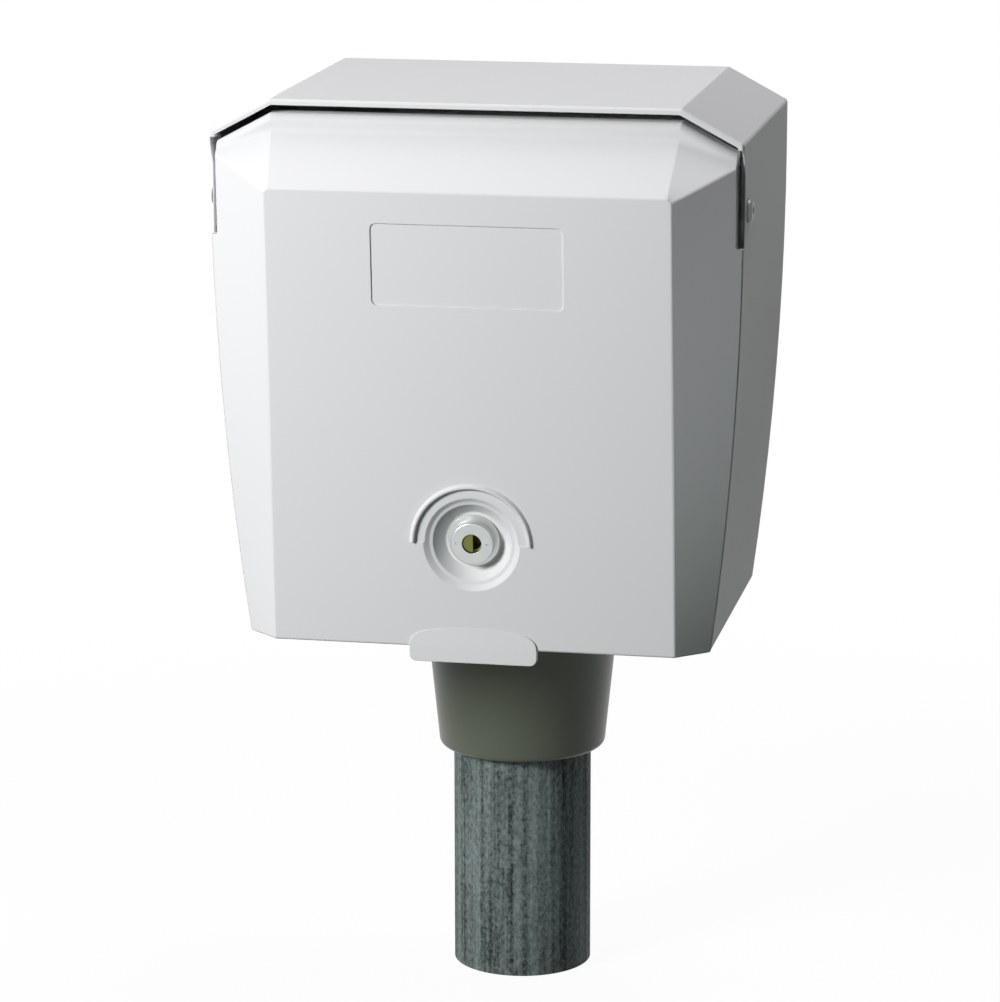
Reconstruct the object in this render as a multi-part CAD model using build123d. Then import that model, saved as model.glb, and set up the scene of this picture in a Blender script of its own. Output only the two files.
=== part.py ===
from build123d import *
import math
import os

# Outdoor enclosure on a round post. Millimetres, +Z up, front towards -Y.
# The origin is the centre of the post's free lower end.

# Post and collar
POST_RADIUS = 30.15
POST_WALL = 2.9
POST_SHOWING = 171.0
POST_INSIDE = 48.0
COLLAR_LENGTH = 72.0
COLLAR_TOP_RADIUS = 43.6
COLLAR_FOOT_RADIUS = 36.2
COLLAR_WALL = 3.2
COLLAR_EDGE_ROUND = 2.6
COLLAR_CLEARANCE = 0.4
COLLAR_BOSS_RADIUS = 3.6
COLLAR_SCREW_RADIUS = 2.0

# Rear housing, heights measured from the box's foot
FOOT_HALF_WIDTH = 97.2
SHOULDER_HALF_WIDTH = 109.8
SHOULDER_HEIGHT = 190.0
CHAMFER_RISE = 20.6
CHAMFER_RUN = 25.4
ROOF_RISE = 13.6
POST_SEAT_GAP = 0.3
SEAM_FOOT_Y = -97.5
SEAM_LEAN = 0.0403
HOUSING_WALL = 2.5
OUTER_ROUND = 3.0
ROOF_ROUND = 1.8
LIP_ROUND = 1.3
LIP_DROP = 2.6
SEAM_GAP = 0.4

# Front cover
COVER_DROP = 1.2
FACE_FOOT_REACH = 11.8
FACE_LEAN = 0.0719
FACE_DROP = 20.4
FACE_FOOT_INSET = 13.2
FACE_TOP_INSET = 1.4
FACE_CORNER_CUT = 1.6
FACET_TOP_RISE = 0.7
FACET_TOP_INSET = 0.8
FACET_SHOULDER_DROP = 8.1
FACET_ROUND = 1.4
FOOT_ROUND = 1.0
COVER_WALL = 2.6
COVER_RIM_FACTOR = 1.6
CROWN_GAP = 3.3
CROWN_BACK_REACH = 4.0
CROWN_ROUND = 3.2
CROWN_CREASE_ROUND = 4.0
NECK_GAP = 0.4

# Slots of black shadow between the hood's sides and the cover
SLOT_LENGTH = 42.6
SLOT_LIP_LENGTH = 13.6
SLOT_SET_BACK = 4.7
SLOT_REBATE_DEPTH = 5.5
SLOT_EDGE_WALL = 0.5
SLOT_CORNER_ROUND = 1.2

# Hinge of the cover
HINGE_SET_BACK = 5.5
HINGE_DROP = 42.2
HINGE_SCREW_RADIUS = 3.0
HINGE_HEAD_RADIUS = 4.9
HINGE_HEAD_HEIGHT = 2.1
HINGE_HEAD_ROUND = 1.7
HINGE_DRIVE_RADIUS = 1.8
HINGE_DRIVE_DEPTH = 1.2
HINGE_BUSH_RADIUS = 4.6
HINGE_BUSH_FLANGE_RADIUS = 7.5
HINGE_BUSH_FLANGE = 2.0
HINGE_EAR_RADIUS = 10.0
HINGE_EAR_WALL = 2.8
RUNNING_FIT = 0.06
SIDE_CLEARANCE = 0.3

# Label field and pull tab on the cover
LABEL_HALF_WIDTH = 39.4
LABEL_DROP = 13.0
LABEL_HEIGHT = 34.0
LABEL_DEPTH = 0.4
LABEL_ROUND = 2.5
TAB_HALF_WIDTH = 26.7
TAB_DROP = 7.3
TAB_REACH = 0.9
TAB_CROWN_HEIGHT = 8.0
TAB_WALL = 3.4
TAB_CORNER_ROUND = 3.0

# Lock, its axis square to the cover's face
LOCK_HEIGHT = 43.8
DISH_RADIUS = 20.2
DISH_SHOULDER_RADIUS = 17.9
DISH_SHOULDER_DEPTH = 1.5
DISH_STEP_RADIUS = 16.5
DISH_STEP_DEPTH = 1.8
DISH_FLOOR_RADIUS = 12.2
DISH_DEPTH = 6.5
RIB_OUTER_RADIUS = 25.8
RIB_CREST_OUTER_RADIUS = 24.8
RIB_CREST_INNER_RADIUS = 24.0
RIB_INNER_RADIUS = 23.2
RIB_HEIGHT = 1.2
RIB_ROOT = 0.9
LAND_DEPTH = 0.4
BARREL_RADIUS = 8.9
BARREL_FRONT_DEPTH = 0.5
BARREL_ROUND = 0.6
BARREL_FLANGE_RADIUS = 10.8
BARREL_FLANGE = 1.0
SHANK_RADIUS = 7.5
SHANK_END_DEPTH = 22.5
KEY_RECESS_RADIUS = 4.1
KEY_RECESS_DEPTH = 3.4
PLUG_RADIUS = 5.0
PLUG_KEY_RADIUS = 3.7
PLUG_KEY_DEPTH = 1.2
KEY_POCKET_RADIUS = 3.4
KEY_POCKET_DEPTH = 11.0
KEY_POCKET_EDGE = 0.4
PLUG_TAIL_SIDE = 6.4
PIN_MARK_RADIUS = 0.45
PIN_MARK_REACH = 6.4
PIN_MARK_DEPTH = 0.6
CAM_WALL = 2.5
CAM_REACH = 24.0
CAM_END_RADIUS = 6.0
CAM_GAP = 0.5
CAM_SCREW_RADIUS = 2.0
CAM_SCREW_LENGTH = 8.0
CAM_SCREW_HEAD_RADIUS = 4.4
CAM_SCREW_HEAD = 2.4
LOCK_NUT_ACROSS = 22.0
LOCK_NUT_WALL = 4.0
STRIKER_WALL = 2.0
STRIKER_HALF_WIDTH = 15.0
STRIKER_DROP = 12.8
STRIKER_GAP = 1.0
STRIKER_ROUND = 4.0
STRIKER_FOOT_LENGTH = 24.0
STRIKER_SCREW_SHARE = 0.6
STRIKER_SCREW_X = 9.0

# Floor
LEAD_NOTCH_X = 52.0
LEAD_NOTCH_WIDTH = 32.0
LEAD_NOTCH_BACK_Y = -64.0
COVER_NOTCH_DEPTH = 7.0
POST_HOLE_CLEARANCE = 0.5

# Post clamp
CLAMP_HEIGHT = 26.0
CLAMP_STRAP_WIDTH = 24.0
CLAMP_STRAP_WALL = 3.0
CLAMP_BOLT_REACH = 13.85
CLAMP_FLANGE_EDGE = 9.0
CLAMP_BOSS_RADIUS = 7.0
CLAMP_BOSS_FRONT_Y = 6.0
CLAMP_BOLT_RADIUS = 3.0
CLAMP_BOLT_HEAD_RADIUS = 5.5
CLAMP_BOLT_HEAD = 4.5
CLAMP_BOLT_END_GAP = 3.0

# Mounting plate and rail
PLATE_SIDE_GAP = 15.2
PLATE_TOP_GAP = 16.2
PLATE_BELOW_RAIL = 86.0
PLATE_WALL = 2.0
PLATE_BOSS_LENGTH = 7.0
PLATE_BOSS_RADIUS = 6.0
PLATE_SCREW_SIDE_INSET = 10.0
PLATE_SCREW_INSET = 8.0
PLATE_ROUND = 6.0
RAIL_RISE = 72.0
RAIL_END_INSET = 8.0
RAIL_WIDTH = 35.0
RAIL_HAT_WIDTH = 25.0
RAIL_DEPTH = 7.5
RAIL_WALL = 1.0
RAIL_SCREW_INSET = 12.0
SMALL_SCREW_RADIUS = 2.0
SMALL_SCREW_HEAD_RADIUS = 3.8
SMALL_SCREW_HEAD = 2.2
SMALL_SCREW_GRIP = 6.0
CUT_PAST = 1.0

# Inner fascia
FASCIA_SET_BACK = 3.55
FASCIA_WALL = 2.5
FASCIA_FOOT_HEIGHT = 14.0
FASCIA_CLEARANCE = 1.0
FASCIA_FLANGE = 8.0
FASCIA_POST_RADIUS = 5.5
FASCIA_POST_LOW_INSET = 11.2
FASCIA_POST_HIGH_INSET = 15.8
FASCIA_POST_LOW_RISE = 16.0
FASCIA_POST_HIGH_DROP = 32.2
FASCIA_WINDOW_CLEARANCE = 0.5

# Circuit breakers
BREAKER_WIDTH = 36.0
BREAKER_GAP = 1.0
BREAKER_HALF_HEIGHT = 41.0
BREAKER_NOSE_HALF_HEIGHT = 22.5
BREAKER_SHOULDER_DEPTH = 44.0
BREAKER_NOSE_DEPTH = 61.5
BREAKER_TERMINAL_RADIUS = 3.2
BREAKER_TERMINAL_DEPTH = 6.0
BREAKER_TERMINAL_X = 9.0
BREAKER_TERMINAL_HEIGHT = 33.0
BREAKER_HOOK_LIP = 2.5
BREAKER_HOOK_WALL = 2.0
LEVER_POCKET_WIDTH = 16.0
LEVER_HUB_RADIUS = 6.0
LEVER_HUB_SINK = 4.0
LEVER_GAP = 0.35
LEVER_STICK_LENGTH = 12.0
LEVER_STICK_WALL = 4.0
LEVER_TIP_ROUND = 1.2
LEVER_REST_ANGLE = 38.0
LEVER_PIN_RADIUS = 1.5
LEVER_PIN_REACH = 2.0
TEST_BUTTON_SIDE = 5.0
TEST_BUTTON_TRAVEL = 1.5
TEST_BUTTON_LENGTH = 6.0
TEST_BUTTON_PROUD = 1.8
TEST_BUTTON_RISE = 16.5
TEST_BUTTON_GAP = 0.3
TEST_BUTTON_ROUND = 0.6

# Socket outlets
SOCKET_X = 48.0
SOCKET_HEIGHT = 88.0
SOCKET_FLANGE_SIDE = 52.0
SOCKET_FLANGE_WALL = 4.0
SOCKET_FLANGE_ROUND = 6.0
SOCKET_BODY_RADIUS = 22.5
SOCKET_BODY_DEPTH = 32.0
SOCKET_WELL_RADIUS = 19.6
SOCKET_WELL_DEPTH = 17.5
SOCKET_PIN_SPACING = 19.0
SOCKET_PIN_HOLE_RADIUS = 2.8
SOCKET_PIN_HOLE_DEPTH = 10.0
SOCKET_SLEEVE_WALL = 0.6
SOCKET_SLEEVE_SINK = 1.0
EARTH_CLIP_WIDTH = 5.0
EARTH_CLIP_WALL = 0.8
EARTH_CLIP_LENGTH = 13.0
LID_WALL = 2.4
LID_GAP = 0.4
LID_SIDE_INSET = 3.0
LID_DROP = 50.0
LID_ROUND = 5.0
LID_PIN_RADIUS = 1.5
LID_BARREL_RADIUS = 3.2
LID_PIN_RISE = 3.6
LID_EAR_WALL = 3.0
LID_EAR_SINK = 2.0
LID_LIFT_WIDTH = 16.0
LID_LIFT_REACH = 3.0

# Terminal block and earth bar
BLOCK_GAP = 6.5
BLOCK_WIDTH = 30.0
BLOCK_HALF_HEIGHT = 24.0
BLOCK_DEPTH = 40.0
BLOCK_CHAMFER = 8.0
BLOCK_WAYS = 3
BLOCK_SCREW_RADIUS = 2.6
BLOCK_SCREW_RISE = 9.6
BLOCK_SCREW_SINK = 1.5
BLOCK_WIRE_RADIUS = 3.1
BLOCK_WIRE_DEPTH = 9.0
EARTH_BAR_HALF_LENGTH = 20.0
EARTH_BAR_SIDE = 9.0
EARTH_BAR_X = -60.0
EARTH_BAR_DROP = 32.0
EARTH_BAR_WAYS = 4
EARTH_SCREW_PAST = 2.0

# Worked out from the sizes above
BOX_Z = POST_SHOWING
CHAMFER_HEIGHT = SHOULDER_HEIGHT + CHAMFER_RISE
ROOF_HEIGHT = CHAMFER_HEIGHT + ROOF_RISE
ROOF_HALF_WIDTH = SHOULDER_HALF_WIDTH - CHAMFER_RUN
SIDE_RISE = SHOULDER_HALF_WIDTH - FOOT_HALF_WIDTH
SIDE_RADIUS = (SHOULDER_HEIGHT ** 2 + SIDE_RISE ** 2) / (2 * SIDE_RISE)
LIP_Y = SEAM_FOOT_Y - SEAM_LEAN * CHAMFER_HEIGHT
LIP_LOW_HEIGHT = CHAMFER_HEIGHT - LIP_DROP
SLOT_FOOT_HEIGHT = CHAMFER_HEIGHT - SLOT_LENGTH
SLOT_TOP_HEIGHT = CHAMFER_HEIGHT - SLOT_LIP_LENGTH
SLOT_EDGE_Y = LIP_Y + SLOT_SET_BACK
BACK_INNER_Y = POST_RADIUS + POST_SEAT_GAP
BACK_Y = BACK_INNER_Y + HOUSING_WALL
FACE_FOOT_Y = SEAM_FOOT_Y - FACE_FOOT_REACH
FACE_HEIGHT = CHAMFER_HEIGHT - FACE_DROP
FACE_FOOT_HALF_WIDTH = FOOT_HALF_WIDTH - FACE_FOOT_INSET
FACE_TOP_HALF_WIDTH = ROOF_HALF_WIDTH - FACE_TOP_INSET
FACET_TOP_HEIGHT = CHAMFER_HEIGHT + FACET_TOP_RISE
FACET_TOP_HALF_WIDTH = ROOF_HALF_WIDTH - FACET_TOP_INSET
FACET_SHOULDER_HEIGHT = CHAMFER_HEIGHT - FACET_SHOULDER_DROP
HINGE_Y = SEAM_FOOT_Y + HINGE_SET_BACK
HINGE_HEIGHT = ROOF_HEIGHT - HINGE_DROP
CROWN_HEIGHT = ROOF_HEIGHT - HOUSING_WALL - CROWN_GAP
CROWN_BACK_Y = HINGE_Y - CROWN_BACK_REACH
NECK_HALF_WIDTH = SHOULDER_HALF_WIDTH - HOUSING_WALL - NECK_GAP
LABEL_TOP_HEIGHT = FACE_HEIGHT - LABEL_DROP
LABEL_FOOT_HEIGHT = LABEL_TOP_HEIGHT - LABEL_HEIGHT
FACE_AT_LOCK_Y = FACE_FOOT_Y - FACE_LEAN * LOCK_HEIGHT
LOCK_PLANE = Plane(
    origin=(0, FACE_AT_LOCK_Y, BOX_Z + LOCK_HEIGHT),
    x_dir=(1, 0, 0),
    z_dir=(0, -1, -FACE_LEAN),
)
STRIKER_FRONT_Y = FACE_AT_LOCK_Y + SHANK_END_DEPTH - STRIKER_GAP
STRIKER_TOP_HEIGHT = LOCK_HEIGHT - STRIKER_DROP
CLAMP_BOLT_X = POST_RADIUS + CLAMP_BOLT_REACH
CLAMP_FLANGE_REACH = CLAMP_BOLT_X + CLAMP_FLANGE_EDGE
RAIL_HEIGHT = SOCKET_HEIGHT + RAIL_RISE
PLATE_HALF_WIDTH = FOOT_HALF_WIDTH - PLATE_SIDE_GAP
PLATE_TOP_HEIGHT = ROOF_HEIGHT - PLATE_TOP_GAP
PLATE_FOOT_HEIGHT = RAIL_HEIGHT - PLATE_BELOW_RAIL
PLATE_SCREW_X = PLATE_HALF_WIDTH - PLATE_SCREW_SIDE_INSET
PLATE_BACK_Y = BACK_INNER_Y - PLATE_BOSS_LENGTH
PLATE_FRONT_Y = PLATE_BACK_Y - PLATE_WALL
RAIL_HALF_LENGTH = PLATE_HALF_WIDTH - RAIL_END_INSET
RAIL_SCREW_X = RAIL_HALF_LENGTH - RAIL_SCREW_INSET
RAIL_FRONT_Y = PLATE_FRONT_Y - RAIL_DEPTH
BREAKER_SHOULDER_Y = RAIL_FRONT_Y - BREAKER_SHOULDER_DEPTH
BREAKER_NOSE_Y = RAIL_FRONT_Y - BREAKER_NOSE_DEPTH
BLOCK_X = BREAKER_WIDTH + BREAKER_GAP / 2 + BLOCK_GAP + BLOCK_WIDTH / 2
BLOCK_FRONT_Y = RAIL_FRONT_Y - BLOCK_DEPTH
EARTH_BAR_HEIGHT = RAIL_HEIGHT - EARTH_BAR_DROP
FASCIA_FRONT_Y = BREAKER_NOSE_Y + FASCIA_SET_BACK
FASCIA_BACK_Y = FASCIA_FRONT_Y + FASCIA_WALL
FASCIA_POST_LOW_X = FOOT_HALF_WIDTH - FASCIA_POST_LOW_INSET
FASCIA_POST_HIGH_X = SHOULDER_HALF_WIDTH - FASCIA_POST_HIGH_INSET
FASCIA_POST_LOW_HEIGHT = FASCIA_FOOT_HEIGHT + FASCIA_POST_LOW_RISE
FASCIA_POST_HIGH_HEIGHT = ROOF_HEIGHT - FASCIA_POST_HIGH_DROP
SOCKET_FRONT_Y = FASCIA_FRONT_Y - SOCKET_FLANGE_WALL
LID_HALF_WIDTH = SOCKET_FLANGE_SIDE / 2 - LID_SIDE_INSET
LID_PIN_Y = SOCKET_FRONT_Y - LID_GAP - LID_WALL / 2
LID_PIN_HEIGHT = SOCKET_HEIGHT + SOCKET_FLANGE_SIDE / 2 + LID_PIN_RISE
FAR = 400.0

PARTS = {}


def keep(node, shape):
    """Store one node, tidied to its own solids."""
    PARTS[node] = shape


def on_front(y):
    """A sketch plane that faces the front, at this y, with heights from the box's foot."""
    return Plane(origin=(0, y, BOX_Z), x_dir=(1, 0, 0), z_dir=(0, -1, 0))


def on_side(x):
    """A sketch plane across the box, with y to the right and heights from the box's foot."""
    return Plane(origin=(x, 0, BOX_Z), x_dir=(0, 1, 0), z_dir=(1, 0, 0))


def rod_y(x, height, radius, y_back, y_front):
    """A round bar that runs front to back."""
    return extrude(on_front(y_back) * Pos(x, height) * Circle(radius), y_back - y_front)


def rod_x(y, height, radius, x_low, x_high):
    """A round bar that runs side to side."""
    return extrude(on_side(x_low) * Pos(y, height) * Circle(radius), x_high - x_low)


def rod_z(x, y, radius, z_low, z_high):
    """An upright round bar, with z from the box's foot."""
    return extrude(Plane(origin=(x, y, BOX_Z + z_low)) * Circle(radius), z_high - z_low)


def block(x_low, x_high, y_low, y_high, z_low, z_high):
    """A rectangular block, with z from the box's foot."""
    size = (x_high - x_low, y_high - y_low, z_high - z_low)
    centre = ((x_low + x_high) / 2, (y_low + y_high) / 2, BOX_Z + (z_low + z_high) / 2)
    return Pos(*centre) * Box(*size)


def half_width(height, inset=0.0):
    """Half the width of the box at a height, on the barrel-shaped side."""
    centre = SHOULDER_HALF_WIDTH - SIDE_RADIUS
    radius = SIDE_RADIUS - inset
    return centre + math.sqrt(radius ** 2 - (height - SHOULDER_HEIGHT) ** 2)


def seam_y(height):
    """Where the cover meets the housing at a height."""
    return SEAM_FOOT_Y - SEAM_LEAN * height


def face_y(height):
    """Where the cover's flat face stands at a height."""
    return FACE_FOOT_Y - FACE_LEAN * height


def mirrored_outline(half, arc_between=None):
    """Close a right-hand run of points into a symmetric outline, with one barrel arc a side."""
    lines = []
    for index, (start, end) in enumerate(zip(half, half[1:])):
        if index == arc_between:
            middle_height = (start[1] + end[1]) / 2
            middle = (half_width(middle_height, SHOULDER_HALF_WIDTH - end[0]), middle_height)
            lines.append(Edge.make_three_point_arc(
                (start[0], start[1], 0), (middle[0], middle[1], 0), (end[0], end[1], 0)))
        else:
            lines.append(Edge.make_line((start[0], start[1], 0), (end[0], end[1], 0)))
    lines += [line.mirror(Plane.YZ) for line in lines]
    top = half[-1]
    foot = half[0]
    lines.append(Edge.make_line((-top[0], top[1], 0), (top[0], top[1], 0)))
    lines.append(Edge.make_line((-foot[0], foot[1], 0), (foot[0], foot[1], 0)))
    return make_face(Wire(lines))


def slope_angle(run, drop):
    """The angle of a chamfer below the level, in radians."""
    return math.atan2(drop, run)


def housing_half(inset):
    """The housing's right-hand outline, set in by a wall."""
    angle = slope_angle(SHOULDER_HALF_WIDTH - ROOF_HALF_WIDTH, ROOF_HEIGHT - CHAMFER_HEIGHT)
    return [
        (half_width(inset, inset), inset),
        (SHOULDER_HALF_WIDTH - inset, SHOULDER_HEIGHT),
        (SHOULDER_HALF_WIDTH - inset, CHAMFER_HEIGHT - inset * math.tan((math.pi / 2 - angle) / 2)),
        (ROOF_HALF_WIDTH - inset * math.tan(angle / 2), ROOF_HEIGHT - inset),
    ]


def housing_outline(inset):
    """The housing's section, seen from the front."""
    return mirrored_outline(housing_half(inset), arc_between=0)


def crown_half(inset, foot):
    """The right-hand outline of the cover's crown, which turns under the roof."""
    drop = (ROOF_HEIGHT - CHAMFER_HEIGHT) / (SHOULDER_HALF_WIDTH - ROOF_HALF_WIDTH)
    angle = math.atan(drop)
    shoulder = CROWN_HEIGHT - drop * (NECK_HALF_WIDTH - ROOF_HALF_WIDTH)
    return [
        (NECK_HALF_WIDTH - inset, foot),
        (NECK_HALF_WIDTH - inset, shoulder - inset * math.tan((math.pi / 2 - angle) / 2)),
        (ROOF_HALF_WIDTH - inset * math.tan(angle / 2), CROWN_HEIGHT - inset),
    ]


def ring(half, depth_at):
    """A closed wire of one barrel arc and two straights a side, standing on a leaning plane."""
    def point(x, height):
        return (x, depth_at(height), BOX_Z + height)

    (foot_x, foot_z), (mid_x, mid_z), (shoulder_x, shoulder_z), (top_x, top_z) = half
    edges = []
    for side in (1, -1):
        if mid_x is None:
            edges.append(Edge.make_line(
                point(side * foot_x, foot_z), point(side * shoulder_x, shoulder_z)))
        else:
            edges.append(Edge.make_three_point_arc(
                point(side * foot_x, foot_z),
                point(side * mid_x, mid_z),
                point(side * shoulder_x, shoulder_z)))
        edges.append(Edge.make_line(
            point(side * shoulder_x, shoulder_z), point(side * top_x, top_z)))
    edges.append(Edge.make_line(point(-top_x, top_z), point(top_x, top_z)))
    edges.append(Edge.make_line(point(-foot_x, foot_z), point(foot_x, foot_z)))
    return Wire(edges)


def hinge_rod(radius, x_from, x_to):
    """A round bar on the cover's hinge axis."""
    return rod_x(HINGE_Y, HINGE_HEIGHT, radius, *sorted((x_from, x_to)))


def rear_ring(skin, rim):
    """The cover's outline on the seam; skin sets the floor in, rim sets the sloping sides in."""
    angle = slope_angle(half_width(FACET_SHOULDER_HEIGHT) - FACET_TOP_HALF_WIDTH,
                        FACET_TOP_HEIGHT - FACET_SHOULDER_HEIGHT)
    shoulder = FACET_SHOULDER_HEIGHT - rim * math.tan((math.pi / 2 - angle) / 2)
    foot = skin - COVER_DROP
    middle = (foot + shoulder) / 2
    half = [
        (half_width(foot, rim), foot),
        (half_width(middle, rim), middle),
        (half_width(shoulder, rim), shoulder),
        (FACET_TOP_HALF_WIDTH - rim * math.tan(angle / 2), FACET_TOP_HEIGHT - rim),
    ]
    return ring(half, seam_y)


def face_ring(skin):
    """The outline of the cover's flat face, set back and in by the skin."""
    edge_inset = skin * (COVER_RIM_FACTOR - 1)
    half = [
        (FACE_FOOT_HALF_WIDTH - edge_inset, skin - COVER_DROP),
        (None, None),
        (FACE_TOP_HALF_WIDTH - edge_inset, FACE_HEIGHT - FACE_CORNER_CUT - edge_inset),
        (FACE_TOP_HALF_WIDTH - FACE_CORNER_CUT - edge_inset, FACE_HEIGHT - edge_inset),
    ]
    return ring(half, lambda height: face_y(height) + skin)


def front_cutter(depth_at, low, high):
    """Everything in front of a leaning plane between two heights."""
    section = Polyline(
        (depth_at(low), low), (depth_at(high), high), (-FAR, high), (-FAR, low), close=True)
    return extrude(on_side(-FAR) * make_face(section), 2 * FAR)


def both_sides(make):
    """Add up what a function makes for the right side and the left side."""
    return make(1) + make(-1)


def collar_screw_places():
    """Centres of the four screws that hold the collar."""
    reach = (POST_RADIUS + POST_HOLE_CLEARANCE + COLLAR_TOP_RADIUS - COLLAR_WALL) / 2 / math.sqrt(2)
    return [(sx * reach, sy * reach) for sx in (1, -1) for sy in (1, -1)]


def plate_screw_places():
    """Centres of the mounting plate's four screws."""
    heights = (PLATE_FOOT_HEIGHT + PLATE_SCREW_INSET, PLATE_TOP_HEIGHT - PLATE_SCREW_INSET)
    return [(side * PLATE_SCREW_X, height) for side in (1, -1) for height in heights]


def fascia_screw_places():
    """Centres of the fascia's four screws."""
    low = [(side * FASCIA_POST_LOW_X, FASCIA_POST_LOW_HEIGHT) for side in (1, -1)]
    high = [(side * FASCIA_POST_HIGH_X, FASCIA_POST_HIGH_HEIGHT) for side in (1, -1)]
    return low + high


def pan_screw(x, height, y_seat, grip):
    """A pan-head screw that points to the back, its head seated at y_seat."""
    head = rod_y(x, height, SMALL_SCREW_HEAD_RADIUS, y_seat, y_seat - SMALL_SCREW_HEAD)
    shank = rod_y(x, height, SMALL_SCREW_RADIUS, y_seat + grip, y_seat)
    slot = block(x - SMALL_SCREW_HEAD_RADIUS, x + SMALL_SCREW_HEAD_RADIUS,
                 y_seat - FAR, y_seat - SMALL_SCREW_HEAD / 2,
                 height - SMALL_SCREW_HEAD / 4, height + SMALL_SCREW_HEAD / 4)
    return head + shank - slot


# Rear housing

def make_rear_housing():
    """The roof, sides, back and floor in one moulding, with its bosses."""
    outer = extrude(on_front(BACK_Y) * housing_outline(0), BACK_Y - LIP_Y)
    back_edges = outer.faces().sort_by(Axis.Y)[-1].edges()
    outer = fillet(back_edges, OUTER_ROUND)
    long_edges = outer.edges().filter_by(Axis.Y).filter_by(
        lambda edge: edge.center().Z > BOX_Z + SHOULDER_HEIGHT)
    outer = fillet(long_edges, ROOF_ROUND)
    front_edges = outer.faces().sort_by(Axis.Y)[0].edges().filter_by(
        lambda edge: edge.center().Z > BOX_Z + SHOULDER_HEIGHT / 2)
    outer = fillet(front_edges, LIP_ROUND)
    hollow = extrude(on_front(BACK_INNER_Y) * housing_outline(HOUSING_WALL), BACK_INNER_Y + FAR)
    shell = outer - hollow
    shell -= front_cutter(lambda height: seam_y(height) + SEAM_GAP, -FAR, SLOT_FOOT_HEIGHT)
    shell -= front_cutter(lambda height: SLOT_EDGE_Y, SLOT_FOOT_HEIGHT, SLOT_TOP_HEIGHT)
    recede = (LIP_Y - SLOT_EDGE_Y) / (LIP_LOW_HEIGHT - SLOT_TOP_HEIGHT)
    shell -= front_cutter(
        lambda height: SLOT_EDGE_Y + recede * (height - SLOT_TOP_HEIGHT),
        SLOT_TOP_HEIGHT, LIP_LOW_HEIGHT)
    rebate = both_sides(lambda side: block(
        *sorted((side * (SHOULDER_HALF_WIDTH - SLOT_EDGE_WALL), side * (NECK_HALF_WIDTH - CUT_PAST))),
        LIP_Y, SLOT_EDGE_Y + SLOT_REBATE_DEPTH, SLOT_FOOT_HEIGHT, LIP_LOW_HEIGHT))
    shell -= rebate

    hold = extrude(on_front(BACK_Y - HOUSING_WALL / 2) * housing_outline(HOUSING_WALL / 2), FAR)
    bosses = both_sides(lambda side: rod_y(
        side * CLAMP_BOLT_X, CLAMP_HEIGHT, CLAMP_BOSS_RADIUS, BACK_Y, CLAMP_BOSS_FRONT_Y))
    for x, height in plate_screw_places():
        bosses += rod_y(x, height, PLATE_BOSS_RADIUS, BACK_Y, PLATE_BACK_Y)
    for x, height in fascia_screw_places():
        bosses += rod_y(x, height, FASCIA_POST_RADIUS, BACK_Y, FASCIA_BACK_Y)
    shell += bosses & hold

    return shell - make_housing_holes()


def make_housing_holes():
    """The holes for the post, the leads and every screw of the housing."""
    floor = (-CUT_PAST, HOUSING_WALL + CUT_PAST)
    holes = rod_z(0, 0, POST_RADIUS + POST_HOLE_CLEARANCE, *floor)
    for x, y in collar_screw_places():
        holes += rod_z(x, y, COLLAR_SCREW_RADIUS, *floor)
    for side in (1, -1):
        x = side * LEAD_NOTCH_X
        round_y = LEAD_NOTCH_BACK_Y - LEAD_NOTCH_WIDTH / 2
        holes += rod_z(x, round_y, LEAD_NOTCH_WIDTH / 2, *floor)
        holes += block(x - LEAD_NOTCH_WIDTH / 2, x + LEAD_NOTCH_WIDTH / 2, -FAR, round_y, *floor)
        holes += hinge_rod(HINGE_SCREW_RADIUS, side * NECK_HALF_WIDTH, side * FAR)
        holes += rod_y(side * CLAMP_BOLT_X, CLAMP_HEIGHT, CLAMP_BOLT_RADIUS,
                       BACK_INNER_Y - CLAMP_BOLT_END_GAP, -FAR)
    for x, height in plate_screw_places():
        holes += rod_y(x, height, SMALL_SCREW_RADIUS, PLATE_BACK_Y + SMALL_SCREW_GRIP, -FAR)
    for x, height in fascia_screw_places():
        holes += rod_y(x, height, SMALL_SCREW_RADIUS, FASCIA_BACK_Y + SMALL_SCREW_GRIP, -FAR)
    for x in (STRIKER_SCREW_X, -STRIKER_SCREW_X):
        holes += rod_z(x, striker_screw_y(), SMALL_SCREW_RADIUS, *floor)
    return holes


def striker_screw_y():
    """How far back the striker's screws stand."""
    return STRIKER_FRONT_Y + STRIKER_WALL + STRIKER_FOOT_LENGTH * STRIKER_SCREW_SHARE


# Front cover

def make_tab():
    """The pull tab: a shallow scoop that grows out of the face and hangs below it."""
    foot = -COVER_DROP
    sections = []
    for share in (0.0, 0.45, 0.8, 0.97):
        height = foot + share * (TAB_CROWN_HEIGHT - foot)
        reach = TAB_REACH * (1 - share)
        width = TAB_HALF_WIDTH * math.sqrt(1 - share ** 3)
        front = face_y(height) - reach
        back = face_y(height) + COVER_WALL / 2
        sections.append(Pos(0, 0, BOX_Z + height) * make_face(Polyline(
            (-width, back), (-width, front), (width, front), (width, back), close=True)))
    scoop = loft(sections)
    front = face_y(foot) - TAB_REACH
    drop = TAB_DROP - COVER_DROP
    outline = Pos(0, foot - drop / 2) * Rectangle(2 * TAB_HALF_WIDTH, drop)
    skirt = extrude(on_front(front + TAB_WALL) * outline, TAB_WALL)
    corners = skirt.edges().filter_by(Axis.Y).group_by(Axis.Z)[0]
    skirt = fillet(corners, TAB_CORNER_ROUND)
    return scoop + skirt


def lock_turned(points, sweep=360):
    """A solid turned about the lock's axis from a run of radius and depth points."""
    return LOCK_PLANE * revolve(Plane.XZ * make_face(Polyline(*points, close=True)), Axis.Z, sweep)


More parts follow.
